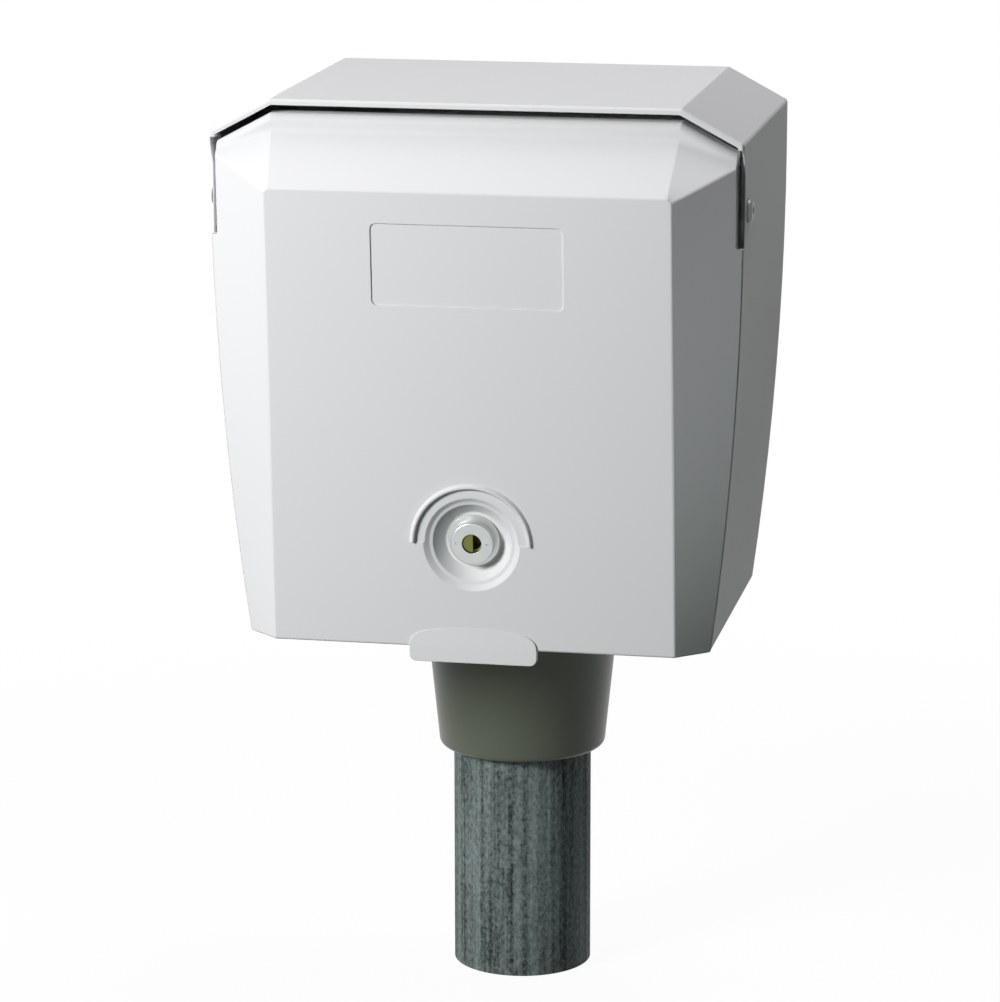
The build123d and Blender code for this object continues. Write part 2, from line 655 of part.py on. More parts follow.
def make_dish_cut():
    """The stepped round dish that the lock stands in."""
    return lock_turned([
        (0, CUT_PAST), (DISH_RADIUS, CUT_PAST), (DISH_RADIUS, 0),
        (DISH_SHOULDER_RADIUS, -DISH_SHOULDER_DEPTH), (DISH_STEP_RADIUS, -DISH_STEP_DEPTH),
        (DISH_FLOOR_RADIUS, -DISH_DEPTH), (0, -DISH_DEPTH)])


def make_dish_back():
    """The wall that carries the dish behind the face."""
    half = COVER_WALL / 2
    return lock_turned([
        (0, -half), (DISH_RADIUS + COVER_WALL, -half),
        (DISH_RADIUS + COVER_WALL, -DISH_SHOULDER_DEPTH - COVER_WALL),
        (DISH_STEP_RADIUS + COVER_WALL, -DISH_STEP_DEPTH - COVER_WALL),
        (DISH_FLOOR_RADIUS + COVER_WALL, -DISH_DEPTH - COVER_WALL),
        (0, -DISH_DEPTH - COVER_WALL)])


def make_land_cut():
    """The shallow sunken land between the rib and the dish."""
    return lock_turned([
        (0, CUT_PAST), (RIB_INNER_RADIUS, CUT_PAST),
        (RIB_INNER_RADIUS, -LAND_DEPTH), (0, -LAND_DEPTH)], sweep=180)


def make_rib():
    """The half-ring rib that stands over the lock, gentle outside and steep inside."""
    return lock_turned([
        (RIB_OUTER_RADIUS, -RIB_ROOT), (RIB_OUTER_RADIUS, 0),
        (RIB_CREST_OUTER_RADIUS, RIB_HEIGHT), (RIB_CREST_INNER_RADIUS, RIB_HEIGHT),
        (RIB_INNER_RADIUS, -LAND_DEPTH), (RIB_INNER_RADIUS, -RIB_ROOT)], sweep=180)


def make_cover_faceted():
    """The faceted front of the cover, solid, with its edges softened."""
    outer = Solid.make_loft([rear_ring(0, 0), face_ring(0)], ruled=True)
    facet_edges = outer.edges().filter_by(
        lambda edge: edge.center().Y < seam_y(ROOF_HEIGHT)
        and edge.length > FACE_CORNER_CUT * 2 and edge.center().Z > BOX_Z)
    outer = fillet(facet_edges, FACET_ROUND)
    foot_edge = outer.edges().filter_by(Axis.X).sort_by(Axis.Z)[:2].sort_by(Axis.Y)[0]
    outer = fillet(foot_edge, FOOT_ROUND)
    slot = both_sides(make_cover_slot)
    return outer - slot


def make_cover_slot(side):
    """What is cut from the cover's side to leave the black slot beside the hood."""
    slot = block(*sorted((side * NECK_HALF_WIDTH, side * FAR)), -FAR, 0, SLOT_FOOT_HEIGHT, FAR)
    corner = slot.edges().filter_by(Axis.Y).group_by(Axis.Z)[0].sort_by(
        lambda edge: abs(edge.center().X))[0]
    return fillet(corner, SLOT_CORNER_ROUND)


def make_crown():
    """The solid crown that stands up behind the facets and turns under the roof."""
    crown = extrude(
        on_front(CROWN_BACK_Y) * mirrored_outline(crown_half(0, SLOT_FOOT_HEIGHT)),
        CROWN_BACK_Y + FAR)
    crown -= front_cutter(seam_y, -FAR, FAR)
    edges = crown.edges().filter_by(
        lambda edge: edge.center().Y < seam_y(CROWN_HEIGHT) + CUT_PAST
        and edge.center().Z > BOX_Z + FACET_SHOULDER_HEIGHT)
    return fillet(edges, CROWN_ROUND)


def soften_crease(shell):
    """Fill the long hollow crease between the crown and the top facet."""
    crease = shell.edges().filter_by(Axis.X).filter_by(
        lambda edge: abs(edge.center().Z - BOX_Z - FACET_TOP_HEIGHT) < SEAM_GAP
        and abs(edge.center().Y - seam_y(FACET_TOP_HEIGHT)) < SEAM_GAP)
    return fillet(crease, CROWN_CREASE_ROUND)


def make_cover_hollow():
    """The cover's inside, from the seam to its walls and up into the crown."""
    rim = COVER_WALL * COVER_RIM_FACTOR
    inner = Solid.make_loft([rear_ring(COVER_WALL, rim), face_ring(COVER_WALL)], ruled=True)
    inner_back = extrude(make_face(rear_ring(COVER_WALL, rim)), FAR, dir=(0, 1, 0))
    crown_hollow = extrude(
        on_front(0) * mirrored_outline(crown_half(COVER_WALL, SLOT_FOOT_HEIGHT)),
        -seam_y(CROWN_HEIGHT) - COVER_WALL)
    return [inner, inner_back, crown_hollow]


def make_ear(side):
    """One hinge ear, on the inside of the neck."""
    low, high = sorted((side * NECK_HALF_WIDTH, side * (NECK_HALF_WIDTH - HINGE_EAR_WALL)))
    disc = rod_x(HINGE_Y, HINGE_HEIGHT, HINGE_EAR_RADIUS, low, high)
    arm = block(low, high, seam_y(HINGE_HEIGHT), HINGE_Y,
                HINGE_HEIGHT - HINGE_EAR_RADIUS, HINGE_HEIGHT + HINGE_EAR_RADIUS)
    return disc + arm


def make_label_cut():
    """The shallow bare field for a label."""
    middle = (LABEL_FOOT_HEIGHT + LABEL_TOP_HEIGHT) / 2
    plane = Plane(origin=(0, face_y(middle), BOX_Z + middle),
                  x_dir=(1, 0, 0), z_dir=(0, -1, -FACE_LEAN))
    outline = RectangleRounded(2 * LABEL_HALF_WIDTH, LABEL_HEIGHT, LABEL_ROUND)
    return extrude(plane * outline, LABEL_DEPTH, both=True)


def make_front_cover():
    """The faceted cover with its crown, hinge ears, dish, rib, label field and tab."""
    shell = soften_crease(make_cover_faceted() + make_crown())
    for hollow in make_cover_hollow():
        shell -= hollow
    shell += both_sides(make_ear)
    shell -= hinge_rod(HINGE_BUSH_RADIUS + RUNNING_FIT, -FAR, FAR)
    shell += make_dish_back()
    shell -= make_land_cut()
    shell -= make_dish_cut()
    shell -= lock_rod(SHANK_RADIUS, -SHANK_END_DEPTH, 0)
    shell += make_rib()
    shell += make_tab()
    shell -= make_label_cut()
    for side in (1, -1):
        x = side * LEAD_NOTCH_X
        shell -= block(x - LEAD_NOTCH_WIDTH / 2, x + LEAD_NOTCH_WIDTH / 2,
                       SEAM_FOOT_Y - COVER_NOTCH_DEPTH, 0,
                       -COVER_DROP - CUT_PAST, COVER_WALL + CUT_PAST)
    return shell


# Hinge

def make_hinge_screw(side):
    """A pan-head screw through the side wall into the bush."""
    seat = half_width(HINGE_HEIGHT + HINGE_HEAD_RADIUS)
    crest = seat + HINGE_HEAD_HEIGHT
    inner_end = NECK_HALF_WIDTH - HINGE_EAR_WALL - SIDE_CLEARANCE - HINGE_BUSH_FLANGE
    head = hinge_rod(HINGE_HEAD_RADIUS, side * seat, side * crest)
    rims = head.edges().filter_by(GeomType.CIRCLE).sort_by(lambda edge: abs(edge.center().X))
    head = fillet(rims[-1], HINGE_HEAD_ROUND)
    shank = hinge_rod(HINGE_SCREW_RADIUS, side * inner_end, side * seat)
    drive = hinge_rod(HINGE_DRIVE_RADIUS, side * (crest - HINGE_DRIVE_DEPTH), side * FAR)
    return head + shank - drive


def make_hinge_bush(side):
    """The flanged nylon bush that the cover's ear turns on."""
    wall_inner = half_width(HINGE_HEIGHT - HINGE_BUSH_RADIUS, HOUSING_WALL)
    flange_outer = NECK_HALF_WIDTH - HINGE_EAR_WALL - SIDE_CLEARANCE
    flange_inner = flange_outer - HINGE_BUSH_FLANGE
    sleeve = hinge_rod(HINGE_BUSH_RADIUS, side * flange_inner, side * wall_inner)
    flange = hinge_rod(HINGE_BUSH_FLANGE_RADIUS, side * flange_inner, side * flange_outer)
    return sleeve + flange - hinge_rod(HINGE_SCREW_RADIUS, -FAR, FAR)


# Lock

def lock_rod(radius, low, high):
    """A round bar on the lock's axis, with depths measured outwards from the face."""
    return LOCK_PLANE * Pos(0, 0, (low + high) / 2) * Cylinder(radius, high - low)


def make_lock_housing():
    """The lock's fixed body, from its front disc to the threaded shank."""
    barrel = lock_rod(BARREL_RADIUS, -DISH_DEPTH, -BARREL_FRONT_DEPTH)
    rim = barrel.edges().filter_by(GeomType.CIRCLE).sort_by(Axis.Y)[0]
    barrel = fillet(rim, BARREL_ROUND)
    flange = lock_rod(BARREL_FLANGE_RADIUS, -DISH_DEPTH, -DISH_DEPTH + BARREL_FLANGE)
    shank = lock_rod(SHANK_RADIUS, -SHANK_END_DEPTH, -DISH_DEPTH)
    bore = lock_rod(PLUG_RADIUS + RUNNING_FIT, -SHANK_END_DEPTH - CUT_PAST, -KEY_RECESS_DEPTH)
    recess = lock_rod(KEY_RECESS_RADIUS, -KEY_RECESS_DEPTH - CUT_PAST, CUT_PAST)
    body = barrel + flange + shank - bore - recess
    for side in (1, -1):
        mark = Pos(side * PIN_MARK_REACH, 0, -BARREL_FRONT_DEPTH)
        body -= LOCK_PLANE * mark * Cylinder(PIN_MARK_RADIUS, 2 * PIN_MARK_DEPTH)
    return body


def make_lock_plug():
    """The turning plug with its half-moon key end, deep key pocket and square tail."""
    end = -SHANK_END_DEPTH - CAM_GAP
    body = lock_rod(PLUG_RADIUS, end, -KEY_RECESS_DEPTH - SIDE_CLEARANCE)
    key = lock_rod(PLUG_KEY_RADIUS, -KEY_RECESS_DEPTH - CUT_PAST, -PLUG_KEY_DEPTH)
    pocket = lock_rod(KEY_POCKET_RADIUS, -KEY_POCKET_DEPTH, -KEY_RECESS_DEPTH)
    right_half = LOCK_PLANE * Pos(KEY_POCKET_EDGE, 0, 0) * Box(
        FAR, FAR, FAR, align=(Align.MIN, Align.CENTER, Align.CENTER))
    tail = LOCK_PLANE * Pos(0, 0, end - CAM_WALL / 2) * Box(
        PLUG_TAIL_SIDE, PLUG_TAIL_SIDE, CAM_WALL)
    bore = lock_rod(CAM_SCREW_RADIUS, end - FAR, end - CAM_WALL + CAM_SCREW_LENGTH)
    return body + (key - right_half) - (pocket & right_half) + tail - bore


def make_lock_cam():
    """The flat cam on the plug's square tail, pointing sideways when unlocked."""
    low = -SHANK_END_DEPTH - CAM_GAP - CAM_WALL
    hub = Circle(BARREL_RADIUS)
    arm = Pos((CAM_REACH - CAM_END_RADIUS) / 2, 0) * Rectangle(
        CAM_REACH - CAM_END_RADIUS, 2 * CAM_END_RADIUS)
    tip = Pos(CAM_REACH - CAM_END_RADIUS, 0) * Circle(CAM_END_RADIUS)
    outline = hub + arm + tip - Rectangle(PLUG_TAIL_SIDE, PLUG_TAIL_SIDE)
    return extrude(LOCK_PLANE * Pos(0, 0, low) * outline, CAM_WALL)


def make_cam_screw():
    """The screw that holds the cam on the plug."""
    seat = -SHANK_END_DEPTH - CAM_GAP - CAM_WALL
    head = lock_rod(CAM_SCREW_HEAD_RADIUS, seat - CAM_SCREW_HEAD, seat)
    shank = lock_rod(CAM_SCREW_RADIUS, seat, seat + CAM_SCREW_LENGTH)
    return head + shank


def make_lock_nut():
    """The thin hexagon nut that pulls the lock against the dish."""
    low = -DISH_DEPTH - COVER_WALL - LOCK_NUT_WALL
    hexagon = RegularPolygon(LOCK_NUT_ACROSS / 2, 6, major_radius=False) - Circle(SHANK_RADIUS)
    return extrude(LOCK_PLANE * Pos(0, 0, low) * hexagon, LOCK_NUT_WALL)


def make_striker():
    """The folded steel striker on the floor, which the cam turns down behind."""
    floor = HOUSING_WALL
    back = STRIKER_FRONT_Y + STRIKER_WALL + STRIKER_FOOT_LENGTH
    upright = block(-STRIKER_HALF_WIDTH, STRIKER_HALF_WIDTH,
                    STRIKER_FRONT_Y, STRIKER_FRONT_Y + STRIKER_WALL, floor, STRIKER_TOP_HEIGHT)
    corners = upright.edges().filter_by(Axis.Y).group_by(Axis.Z)[-1]
    upright = fillet(corners, STRIKER_ROUND)
    foot = block(-STRIKER_HALF_WIDTH, STRIKER_HALF_WIDTH,
                 STRIKER_FRONT_Y, back, floor, floor + STRIKER_WALL)
    plate = upright + foot
    for x in (STRIKER_SCREW_X, -STRIKER_SCREW_X):
        plate -= rod_z(x, striker_screw_y(), SMALL_SCREW_RADIUS, 0, FAR)
    return plate


def upright_screw(x, y, seat, grip):
    """A pan-head screw that points down, its head seated at a height."""
    head = rod_z(x, y, SMALL_SCREW_HEAD_RADIUS, seat, seat + SMALL_SCREW_HEAD)
    shank = rod_z(x, y, SMALL_SCREW_RADIUS, seat - grip, seat)
    return head + shank


# Post, collar and clamp

def make_post():
    """The galvanised tube, cut square at its lower end."""
    tube = Cylinder(POST_RADIUS, POST_SHOWING + POST_INSIDE,
                    align=(Align.CENTER, Align.CENTER, Align.MIN))
    bore = Cylinder(POST_RADIUS - POST_WALL, POST_SHOWING + POST_INSIDE,
                    align=(Align.CENTER, Align.CENTER, Align.MIN))
    return tube - bore


def collar_radius(height, wall=0.0):
    """The collar's radius at a height below the box's foot."""
    taper = (COLLAR_TOP_RADIUS - COLLAR_FOOT_RADIUS) / COLLAR_LENGTH
    return COLLAR_TOP_RADIUS + taper * height - wall


def behind_cut(y):
    """Everything in front of an upright plane, to flatten the collar's back."""
    return Pos(0, y - FAR / 2, 0) * Box(FAR, FAR, FAR)


def make_collar():
    """The tapered collar, flat at the back, with a lip round the post and four screw bosses."""
    inner_foot = -COLLAR_LENGTH + COLLAR_WALL
    mouth = POST_RADIUS + COLLAR_CLEARANCE
    outer = Polyline((0, -COLLAR_LENGTH), (COLLAR_FOOT_RADIUS, -COLLAR_LENGTH),
                     (COLLAR_TOP_RADIUS, 0), (0, 0), close=True)
    cone = revolve(Plane.XZ * make_face(outer), Axis.Z)
    foot_edge = cone.edges().filter_by(GeomType.CIRCLE).sort_by(Axis.Z)[0]
    cone = fillet(foot_edge, COLLAR_EDGE_ROUND)
    cone &= behind_cut(BACK_Y)
    inner = Polyline((0, inner_foot), (collar_radius(inner_foot, COLLAR_WALL), inner_foot),
                     (collar_radius(0, COLLAR_WALL), 0), (0, 0), close=True)
    hollow = revolve(Plane.XZ * make_face(inner), Axis.Z) & behind_cut(BACK_Y - COLLAR_WALL)
    shell = cone - hollow
    shell = Pos(0, 0, BOX_Z) * shell
    envelope = Pos(0, 0, BOX_Z) * cone
    bosses = None
    for x, y in collar_screw_places():
        boss = rod_z(x, y, COLLAR_BOSS_RADIUS, -COLLAR_LENGTH / 2, 0)
        bosses = boss if bosses is None else bosses + boss
    shell += bosses & envelope
    shell -= rod_z(0, 0, mouth, -FAR, CUT_PAST)
    for x, y in collar_screw_places():
        shell -= rod_z(x, y, COLLAR_SCREW_RADIUS, -SMALL_SCREW_GRIP * 2, CUT_PAST)
    return shell


def make_clamp_saddle():
    """The bent strap that presses the post against the back wall."""
    inner = POST_RADIUS + COLLAR_CLEARANCE / 2
    outer = inner + CLAMP_STRAP_WALL
    seat = CLAMP_BOSS_FRONT_Y
    bend = Circle(outer) - Circle(inner)
    front_half = Pos(0, seat - FAR / 2) * Rectangle(FAR, FAR)
    bend = bend & front_half
    flanges = Pos(0, seat - CLAMP_STRAP_WALL / 2) * Rectangle(2 * CLAMP_FLANGE_REACH, CLAMP_STRAP_WALL)
    outline = bend + (flanges - Circle(inner))
    low = CLAMP_HEIGHT - CLAMP_STRAP_WIDTH / 2
    strap = extrude(Plane(origin=(0, 0, BOX_Z + low)) * outline, CLAMP_STRAP_WIDTH)
    for side in (1, -1):
        strap -= rod_y(side * CLAMP_BOLT_X, CLAMP_HEIGHT, CLAMP_BOLT_RADIUS, FAR, -FAR)
    return strap


def make_clamp_bolt(side):
    """A hexagon bolt through the saddle's flange into the boss."""
    seat = CLAMP_BOSS_FRONT_Y - CLAMP_STRAP_WALL
    head = extrude(on_front(seat) * Pos(side * CLAMP_BOLT_X, CLAMP_HEIGHT) * RegularPolygon(
        CLAMP_BOLT_HEAD_RADIUS, 6), CLAMP_BOLT_HEAD)
    shank = rod_y(side * CLAMP_BOLT_X, CLAMP_HEIGHT, CLAMP_BOLT_RADIUS,
                  BACK_INNER_Y - CLAMP_BOLT_END_GAP, seat)
    return head + shank


# Mounting plate, rail and what they carry

def make_mounting_plate():
    """The steel plate on the back wall's bosses."""
    height = PLATE_TOP_HEIGHT - PLATE_FOOT_HEIGHT
    middle = (PLATE_TOP_HEIGHT + PLATE_FOOT_HEIGHT) / 2
    outline = Pos(0, middle) * RectangleRounded(2 * PLATE_HALF_WIDTH, height, PLATE_ROUND)
    plate = extrude(on_front(PLATE_BACK_Y) * outline, PLATE_WALL)
    holes = plate_screw_places() + [(side * RAIL_SCREW_X, RAIL_HEIGHT) for side in (1, -1)]
    holes.append((EARTH_BAR_X, EARTH_BAR_HEIGHT))
    for x, hole_height in holes:
        plate -= rod_y(x, hole_height, SMALL_SCREW_RADIUS, BACK_Y, -FAR)
    return plate


def make_rail():
    """The top-hat rail, its flanges to the front."""
    hat = RAIL_HAT_WIDTH / 2
    wide = RAIL_WIDTH / 2
    back = PLATE_FRONT_Y
    front = RAIL_FRONT_Y
    points = [
        (back, -hat), (back, hat), (front + RAIL_WALL, hat), (front + RAIL_WALL, wide),
        (front, wide), (front, hat - RAIL_WALL), (back - RAIL_WALL, hat - RAIL_WALL),
        (back - RAIL_WALL, RAIL_WALL - hat), (front, RAIL_WALL - hat), (front, -wide),
        (front + RAIL_WALL, -wide), (front + RAIL_WALL, -hat),
    ]
    section = make_face(Polyline(*[(y, RAIL_HEIGHT + z) for y, z in points], close=True))
    rail = extrude(on_side(-RAIL_HALF_LENGTH) * section, 2 * RAIL_HALF_LENGTH)
    for side in (1, -1):
        rail -= rod_y(side * RAIL_SCREW_X, RAIL_HEIGHT, SMALL_SCREW_RADIUS, BACK_Y, -FAR)
    return rail


def breaker_x(side):
    """The middle of a breaker."""
    return side * (BREAKER_WIDTH + BREAKER_GAP) / 2


def lever_centre():
    """The lever's pivot, as y and height."""
    return (BREAKER_NOSE_Y + LEVER_HUB_SINK, RAIL_HEIGHT)


def test_button_height():
    """The height of the test button."""
    return RAIL_HEIGHT + TEST_BUTTON_RISE


def make_breaker(side):
    """A two-module breaker clipped on the rail, with its lever pocket and button hole."""
    x = breaker_x(side)
    wide = RAIL_WIDTH / 2 + SIDE_CLEARANCE
    hook = RAIL_FRONT_Y + RAIL_WALL + SIDE_CLEARANCE
    lip = wide - BREAKER_HOOK_LIP
    behind = hook + BREAKER_HOOK_WALL
    tall = BREAKER_HALF_HEIGHT
    nose = BREAKER_NOSE_HALF_HEIGHT
    half = [
        (RAIL_FRONT_Y, 0), (RAIL_FRONT_Y, wide), (hook, wide), (hook, lip), (behind, lip),
        (behind, tall), (BREAKER_SHOULDER_Y, tall),
        (BREAKER_SHOULDER_Y, nose), (BREAKER_NOSE_Y, nose), (BREAKER_NOSE_Y, 0),
    ]
    upper = [(y, RAIL_HEIGHT + z) for y, z in half]
    lower = [(y, RAIL_HEIGHT - z) for y, z in reversed(half[1:-1])]
    section = make_face(Polyline(*upper, *lower, close=True))
    body = extrude(on_side(x - BREAKER_WIDTH / 2) * section, BREAKER_WIDTH)
    pivot_y, pivot_height = lever_centre()
    pocket_radius = LEVER_HUB_RADIUS + LEVER_GAP
    half_pocket = LEVER_POCKET_WIDTH / 2
    body -= rod_x(pivot_y, pivot_height, pocket_radius, x - half_pocket, x + half_pocket)
    body -= block(x - half_pocket, x + half_pocket, -FAR, pivot_y,
                  pivot_height - pocket_radius, pivot_height + pocket_radius)
    reach = half_pocket + LEVER_PIN_REACH + SIDE_CLEARANCE
    body -= rod_x(pivot_y, pivot_height, LEVER_PIN_RADIUS + RUNNING_FIT, x - reach, x + reach)
    hole = TEST_BUTTON_SIDE / 2 + TEST_BUTTON_GAP
    inner = TEST_BUTTON_LENGTH - TEST_BUTTON_PROUD + TEST_BUTTON_TRAVEL + TEST_BUTTON_GAP
    body -= block(x - hole, x + hole, -FAR, BREAKER_NOSE_Y + inner,
                  test_button_height() - hole, test_button_height() + hole)
    for offset in (-BREAKER_TERMINAL_X, BREAKER_TERMINAL_X):
        for rise in (-BREAKER_TERMINAL_HEIGHT, BREAKER_TERMINAL_HEIGHT):
            body -= rod_y(x + offset, RAIL_HEIGHT + rise, BREAKER_TERMINAL_RADIUS,
                          BREAKER_SHOULDER_Y + BREAKER_TERMINAL_DEPTH, -FAR)
    return body


def make_lever(side):
    """A breaker's lever: a hub with a stick, tipped down when off."""
    x = breaker_x(side)
    pivot_y, pivot_height = lever_centre()
    half = LEVER_POCKET_WIDTH / 2 - LEVER_GAP
    reach = LEVER_POCKET_WIDTH / 2 + LEVER_PIN_REACH
    hub = rod_x(pivot_y, pivot_height, LEVER_HUB_RADIUS, x - half, x + half)
    pin = rod_x(pivot_y, pivot_height, LEVER_PIN_RADIUS, x - reach, x + reach)
    stick = Pos(x, 0, 0) * Box(2 * half, LEVER_STICK_LENGTH, LEVER_STICK_WALL,
                               align=(Align.CENTER, Align.MAX, Align.CENTER))
    tip = stick.faces().sort_by(Axis.Y)[0].edges().filter_by(Axis.X)
    stick = fillet(tip, LEVER_TIP_ROUND)
    turned = Pos(0, pivot_y, BOX_Z + pivot_height) * Rot(LEVER_REST_ANGLE, 0, 0) * stick
    return hub + pin + turned


def make_test_button(side):
    """The square test button in its hole."""
    x = breaker_x(side)
    half = TEST_BUTTON_SIDE / 2
    front = BREAKER_NOSE_Y - TEST_BUTTON_PROUD
    button = block(x - half, x + half, front, front + TEST_BUTTON_LENGTH,
                   test_button_height() - half, test_button_height() + half)
    return fillet(button.faces().sort_by(Axis.Y)[0].edges(), TEST_BUTTON_ROUND)


def block_ways():
    """The middle of each way of the terminal block, from left to right."""
    pitch = BLOCK_WIDTH / BLOCK_WAYS
    return [BLOCK_X + pitch * (way - (BLOCK_WAYS - 1) / 2) for way in range(BLOCK_WAYS)]


def make_terminal_block():
    """The supply terminals, clipped on the rail beside the breakers."""
    foot = RAIL_HEIGHT - BLOCK_HALF_HEIGHT
    body = block(BLOCK_X - BLOCK_WIDTH / 2, BLOCK_X + BLOCK_WIDTH / 2,
                 BLOCK_FRONT_Y, RAIL_FRONT_Y, foot, RAIL_HEIGHT + BLOCK_HALF_HEIGHT)
    front_long = body.edges().filter_by(Axis.X).group_by(Axis.Y)[0]
    body = chamfer(front_long, BLOCK_CHAMFER)
    for x in block_ways():
        for rise in (-BLOCK_SCREW_RISE, BLOCK_SCREW_RISE):
            body -= rod_y(x, RAIL_HEIGHT + rise, BLOCK_SCREW_RADIUS,
                          BLOCK_FRONT_Y + BLOCK_CHAMFER, -FAR)
        body -= rod_z(x, BLOCK_FRONT_Y + BLOCK_DEPTH / 2, BLOCK_WIRE_RADIUS,
                      foot - CUT_PAST, foot + BLOCK_WIRE_DEPTH)
    return body


def make_block_screws():
    """The terminal screws, sunk in the block."""
    return Compound(children=[
        rod_y(x, RAIL_HEIGHT + rise, BLOCK_SCREW_RADIUS,
              BLOCK_FRONT_Y + BLOCK_CHAMFER, BLOCK_FRONT_Y + BLOCK_SCREW_SINK)
        for x in block_ways() for rise in (-BLOCK_SCREW_RISE, BLOCK_SCREW_RISE)])


def make_earth_bar():
    """The brass earth bar with its row of wire holes."""
    half = EARTH_BAR_SIDE / 2
    bar = block(EARTH_BAR_X - EARTH_BAR_HALF_LENGTH, EARTH_BAR_X + EARTH_BAR_HALF_LENGTH,
                PLATE_FRONT_Y - EARTH_BAR_SIDE, PLATE_FRONT_Y,
                EARTH_BAR_HEIGHT - half, EARTH_BAR_HEIGHT + half)
    bar -= rod_y(EARTH_BAR_X, EARTH_BAR_HEIGHT, SMALL_SCREW_RADIUS, BACK_Y, -FAR)
    pitch = 2 * EARTH_BAR_HALF_LENGTH / EARTH_BAR_WAYS
    for way in range(EARTH_BAR_WAYS):
        x = EARTH_BAR_X - EARTH_BAR_HALF_LENGTH + pitch * (way + 0.5)
        bar -= rod_z(x, PLATE_FRONT_Y - EARTH_BAR_SIDE / 2, SMALL_SCREW_RADIUS, -FAR, FAR)
    return bar


# Fascia

def make_fascia():
    """The inner cover over the wiring, with its window and two socket holes."""
    inset = HOUSING_WALL + FASCIA_CLEARANCE
    flange_y = FASCIA_BACK_Y + FASCIA_FLANGE
    panel = extrude(on_front(flange_y) * housing_outline(inset), FASCIA_FLANGE + FASCIA_WALL)
    panel -= extrude(on_front(flange_y) * housing_outline(inset + FASCIA_WALL), FASCIA_FLANGE)
    panel -= block(-FAR, FAR, -FAR, FAR, -FAR, FASCIA_FOOT_HEIGHT)
    across = BREAKER_WIDTH + BREAKER_GAP / 2 + FASCIA_WINDOW_CLEARANCE
    tall = BREAKER_NOSE_HALF_HEIGHT + FASCIA_WINDOW_CLEARANCE
    panel -= block(-across, across, -FAR, 0, RAIL_HEIGHT - tall, RAIL_HEIGHT + tall)
    for side in (1, -1):
        panel -= rod_y(side * SOCKET_X, SOCKET_HEIGHT, SOCKET_BODY_RADIUS + SIDE_CLEARANCE, 0, -FAR)
    for x, height in fascia_screw_places():
        panel -= rod_y(x, height, SMALL_SCREW_RADIUS, 0, -FAR)
    return panel


# Socket outlets

def lid_ear_foot():
    """How low the ears of a lid's pin reach down the flange."""
    return LID_PIN_HEIGHT - LID_PIN_RISE - LID_EAR_SINK


def make_socket(side):
    """A panel socket with its round well, pin holes and the ears of its lid."""
    x = side * SOCKET_X
    flange = extrude(on_front(FASCIA_FRONT_Y) * Pos(x, SOCKET_HEIGHT) * RectangleRounded(
        SOCKET_FLANGE_SIDE, SOCKET_FLANGE_SIDE, SOCKET_FLANGE_ROUND), SOCKET_FLANGE_WALL)
    body = rod_y(x, SOCKET_HEIGHT, SOCKET_BODY_RADIUS,
                 FASCIA_FRONT_Y + SOCKET_BODY_DEPTH, FASCIA_FRONT_Y)
    shape = flange + body
    ear_outer = LID_HALF_WIDTH - SOCKET_FLANGE_ROUND
    for ear in (1, -1):
        low, high = sorted((x + ear * ear_outer, x + ear * (ear_outer - LID_EAR_WALL)))
        shape += rod_x(LID_PIN_Y, LID_PIN_HEIGHT, LID_BARREL_RADIUS, low, high)
        shape += block(low, high, LID_PIN_Y, FASCIA_FRONT_Y,
                       lid_ear_foot(), LID_PIN_HEIGHT + LID_BARREL_RADIUS)
        shape -= rod_x(LID_PIN_Y, LID_PIN_HEIGHT, LID_PIN_RADIUS, low, high)
    well_back = SOCKET_FRONT_Y + SOCKET_WELL_DEPTH
    shape -= rod_y(x, SOCKET_HEIGHT, SOCKET_WELL_RADIUS, well_back, -FAR)
    for pin in (1, -1):
        shape -= rod_y(x + pin * SOCKET_PIN_SPACING / 2, SOCKET_HEIGHT, SOCKET_PIN_HOLE_RADIUS,
                       well_back + SOCKET_PIN_HOLE_DEPTH, SOCKET_FRONT_Y)
    return shape


def make_contacts(side):
    """Two contact sleeves and two earth clips."""
    x = side * SOCKET_X
    well_back = SOCKET_FRONT_Y + SOCKET_WELL_DEPTH
    pieces = []
    for pin in (1, -1):
        centre = x + pin * SOCKET_PIN_SPACING / 2
        tube = rod_y(centre, SOCKET_HEIGHT, SOCKET_PIN_HOLE_RADIUS,
                     well_back + SOCKET_PIN_HOLE_DEPTH, well_back + SOCKET_SLEEVE_SINK)
        bore = rod_y(centre, SOCKET_HEIGHT, SOCKET_PIN_HOLE_RADIUS - SOCKET_SLEEVE_WALL,
                     well_back + SOCKET_PIN_HOLE_DEPTH - SOCKET_SLEEVE_SINK, well_back)
        pieces.append(tube - bore)
        wall = SOCKET_HEIGHT + pin * (SOCKET_WELL_RADIUS - EARTH_CLIP_WALL)
        low, high = sorted((wall, wall - pin * EARTH_CLIP_WALL))
        pieces.append(block(x - EARTH_CLIP_WIDTH / 2, x + EARTH_CLIP_WIDTH / 2,
                            well_back - EARTH_CLIP_LENGTH, well_back, low, high))
    return Compound(children=pieces)


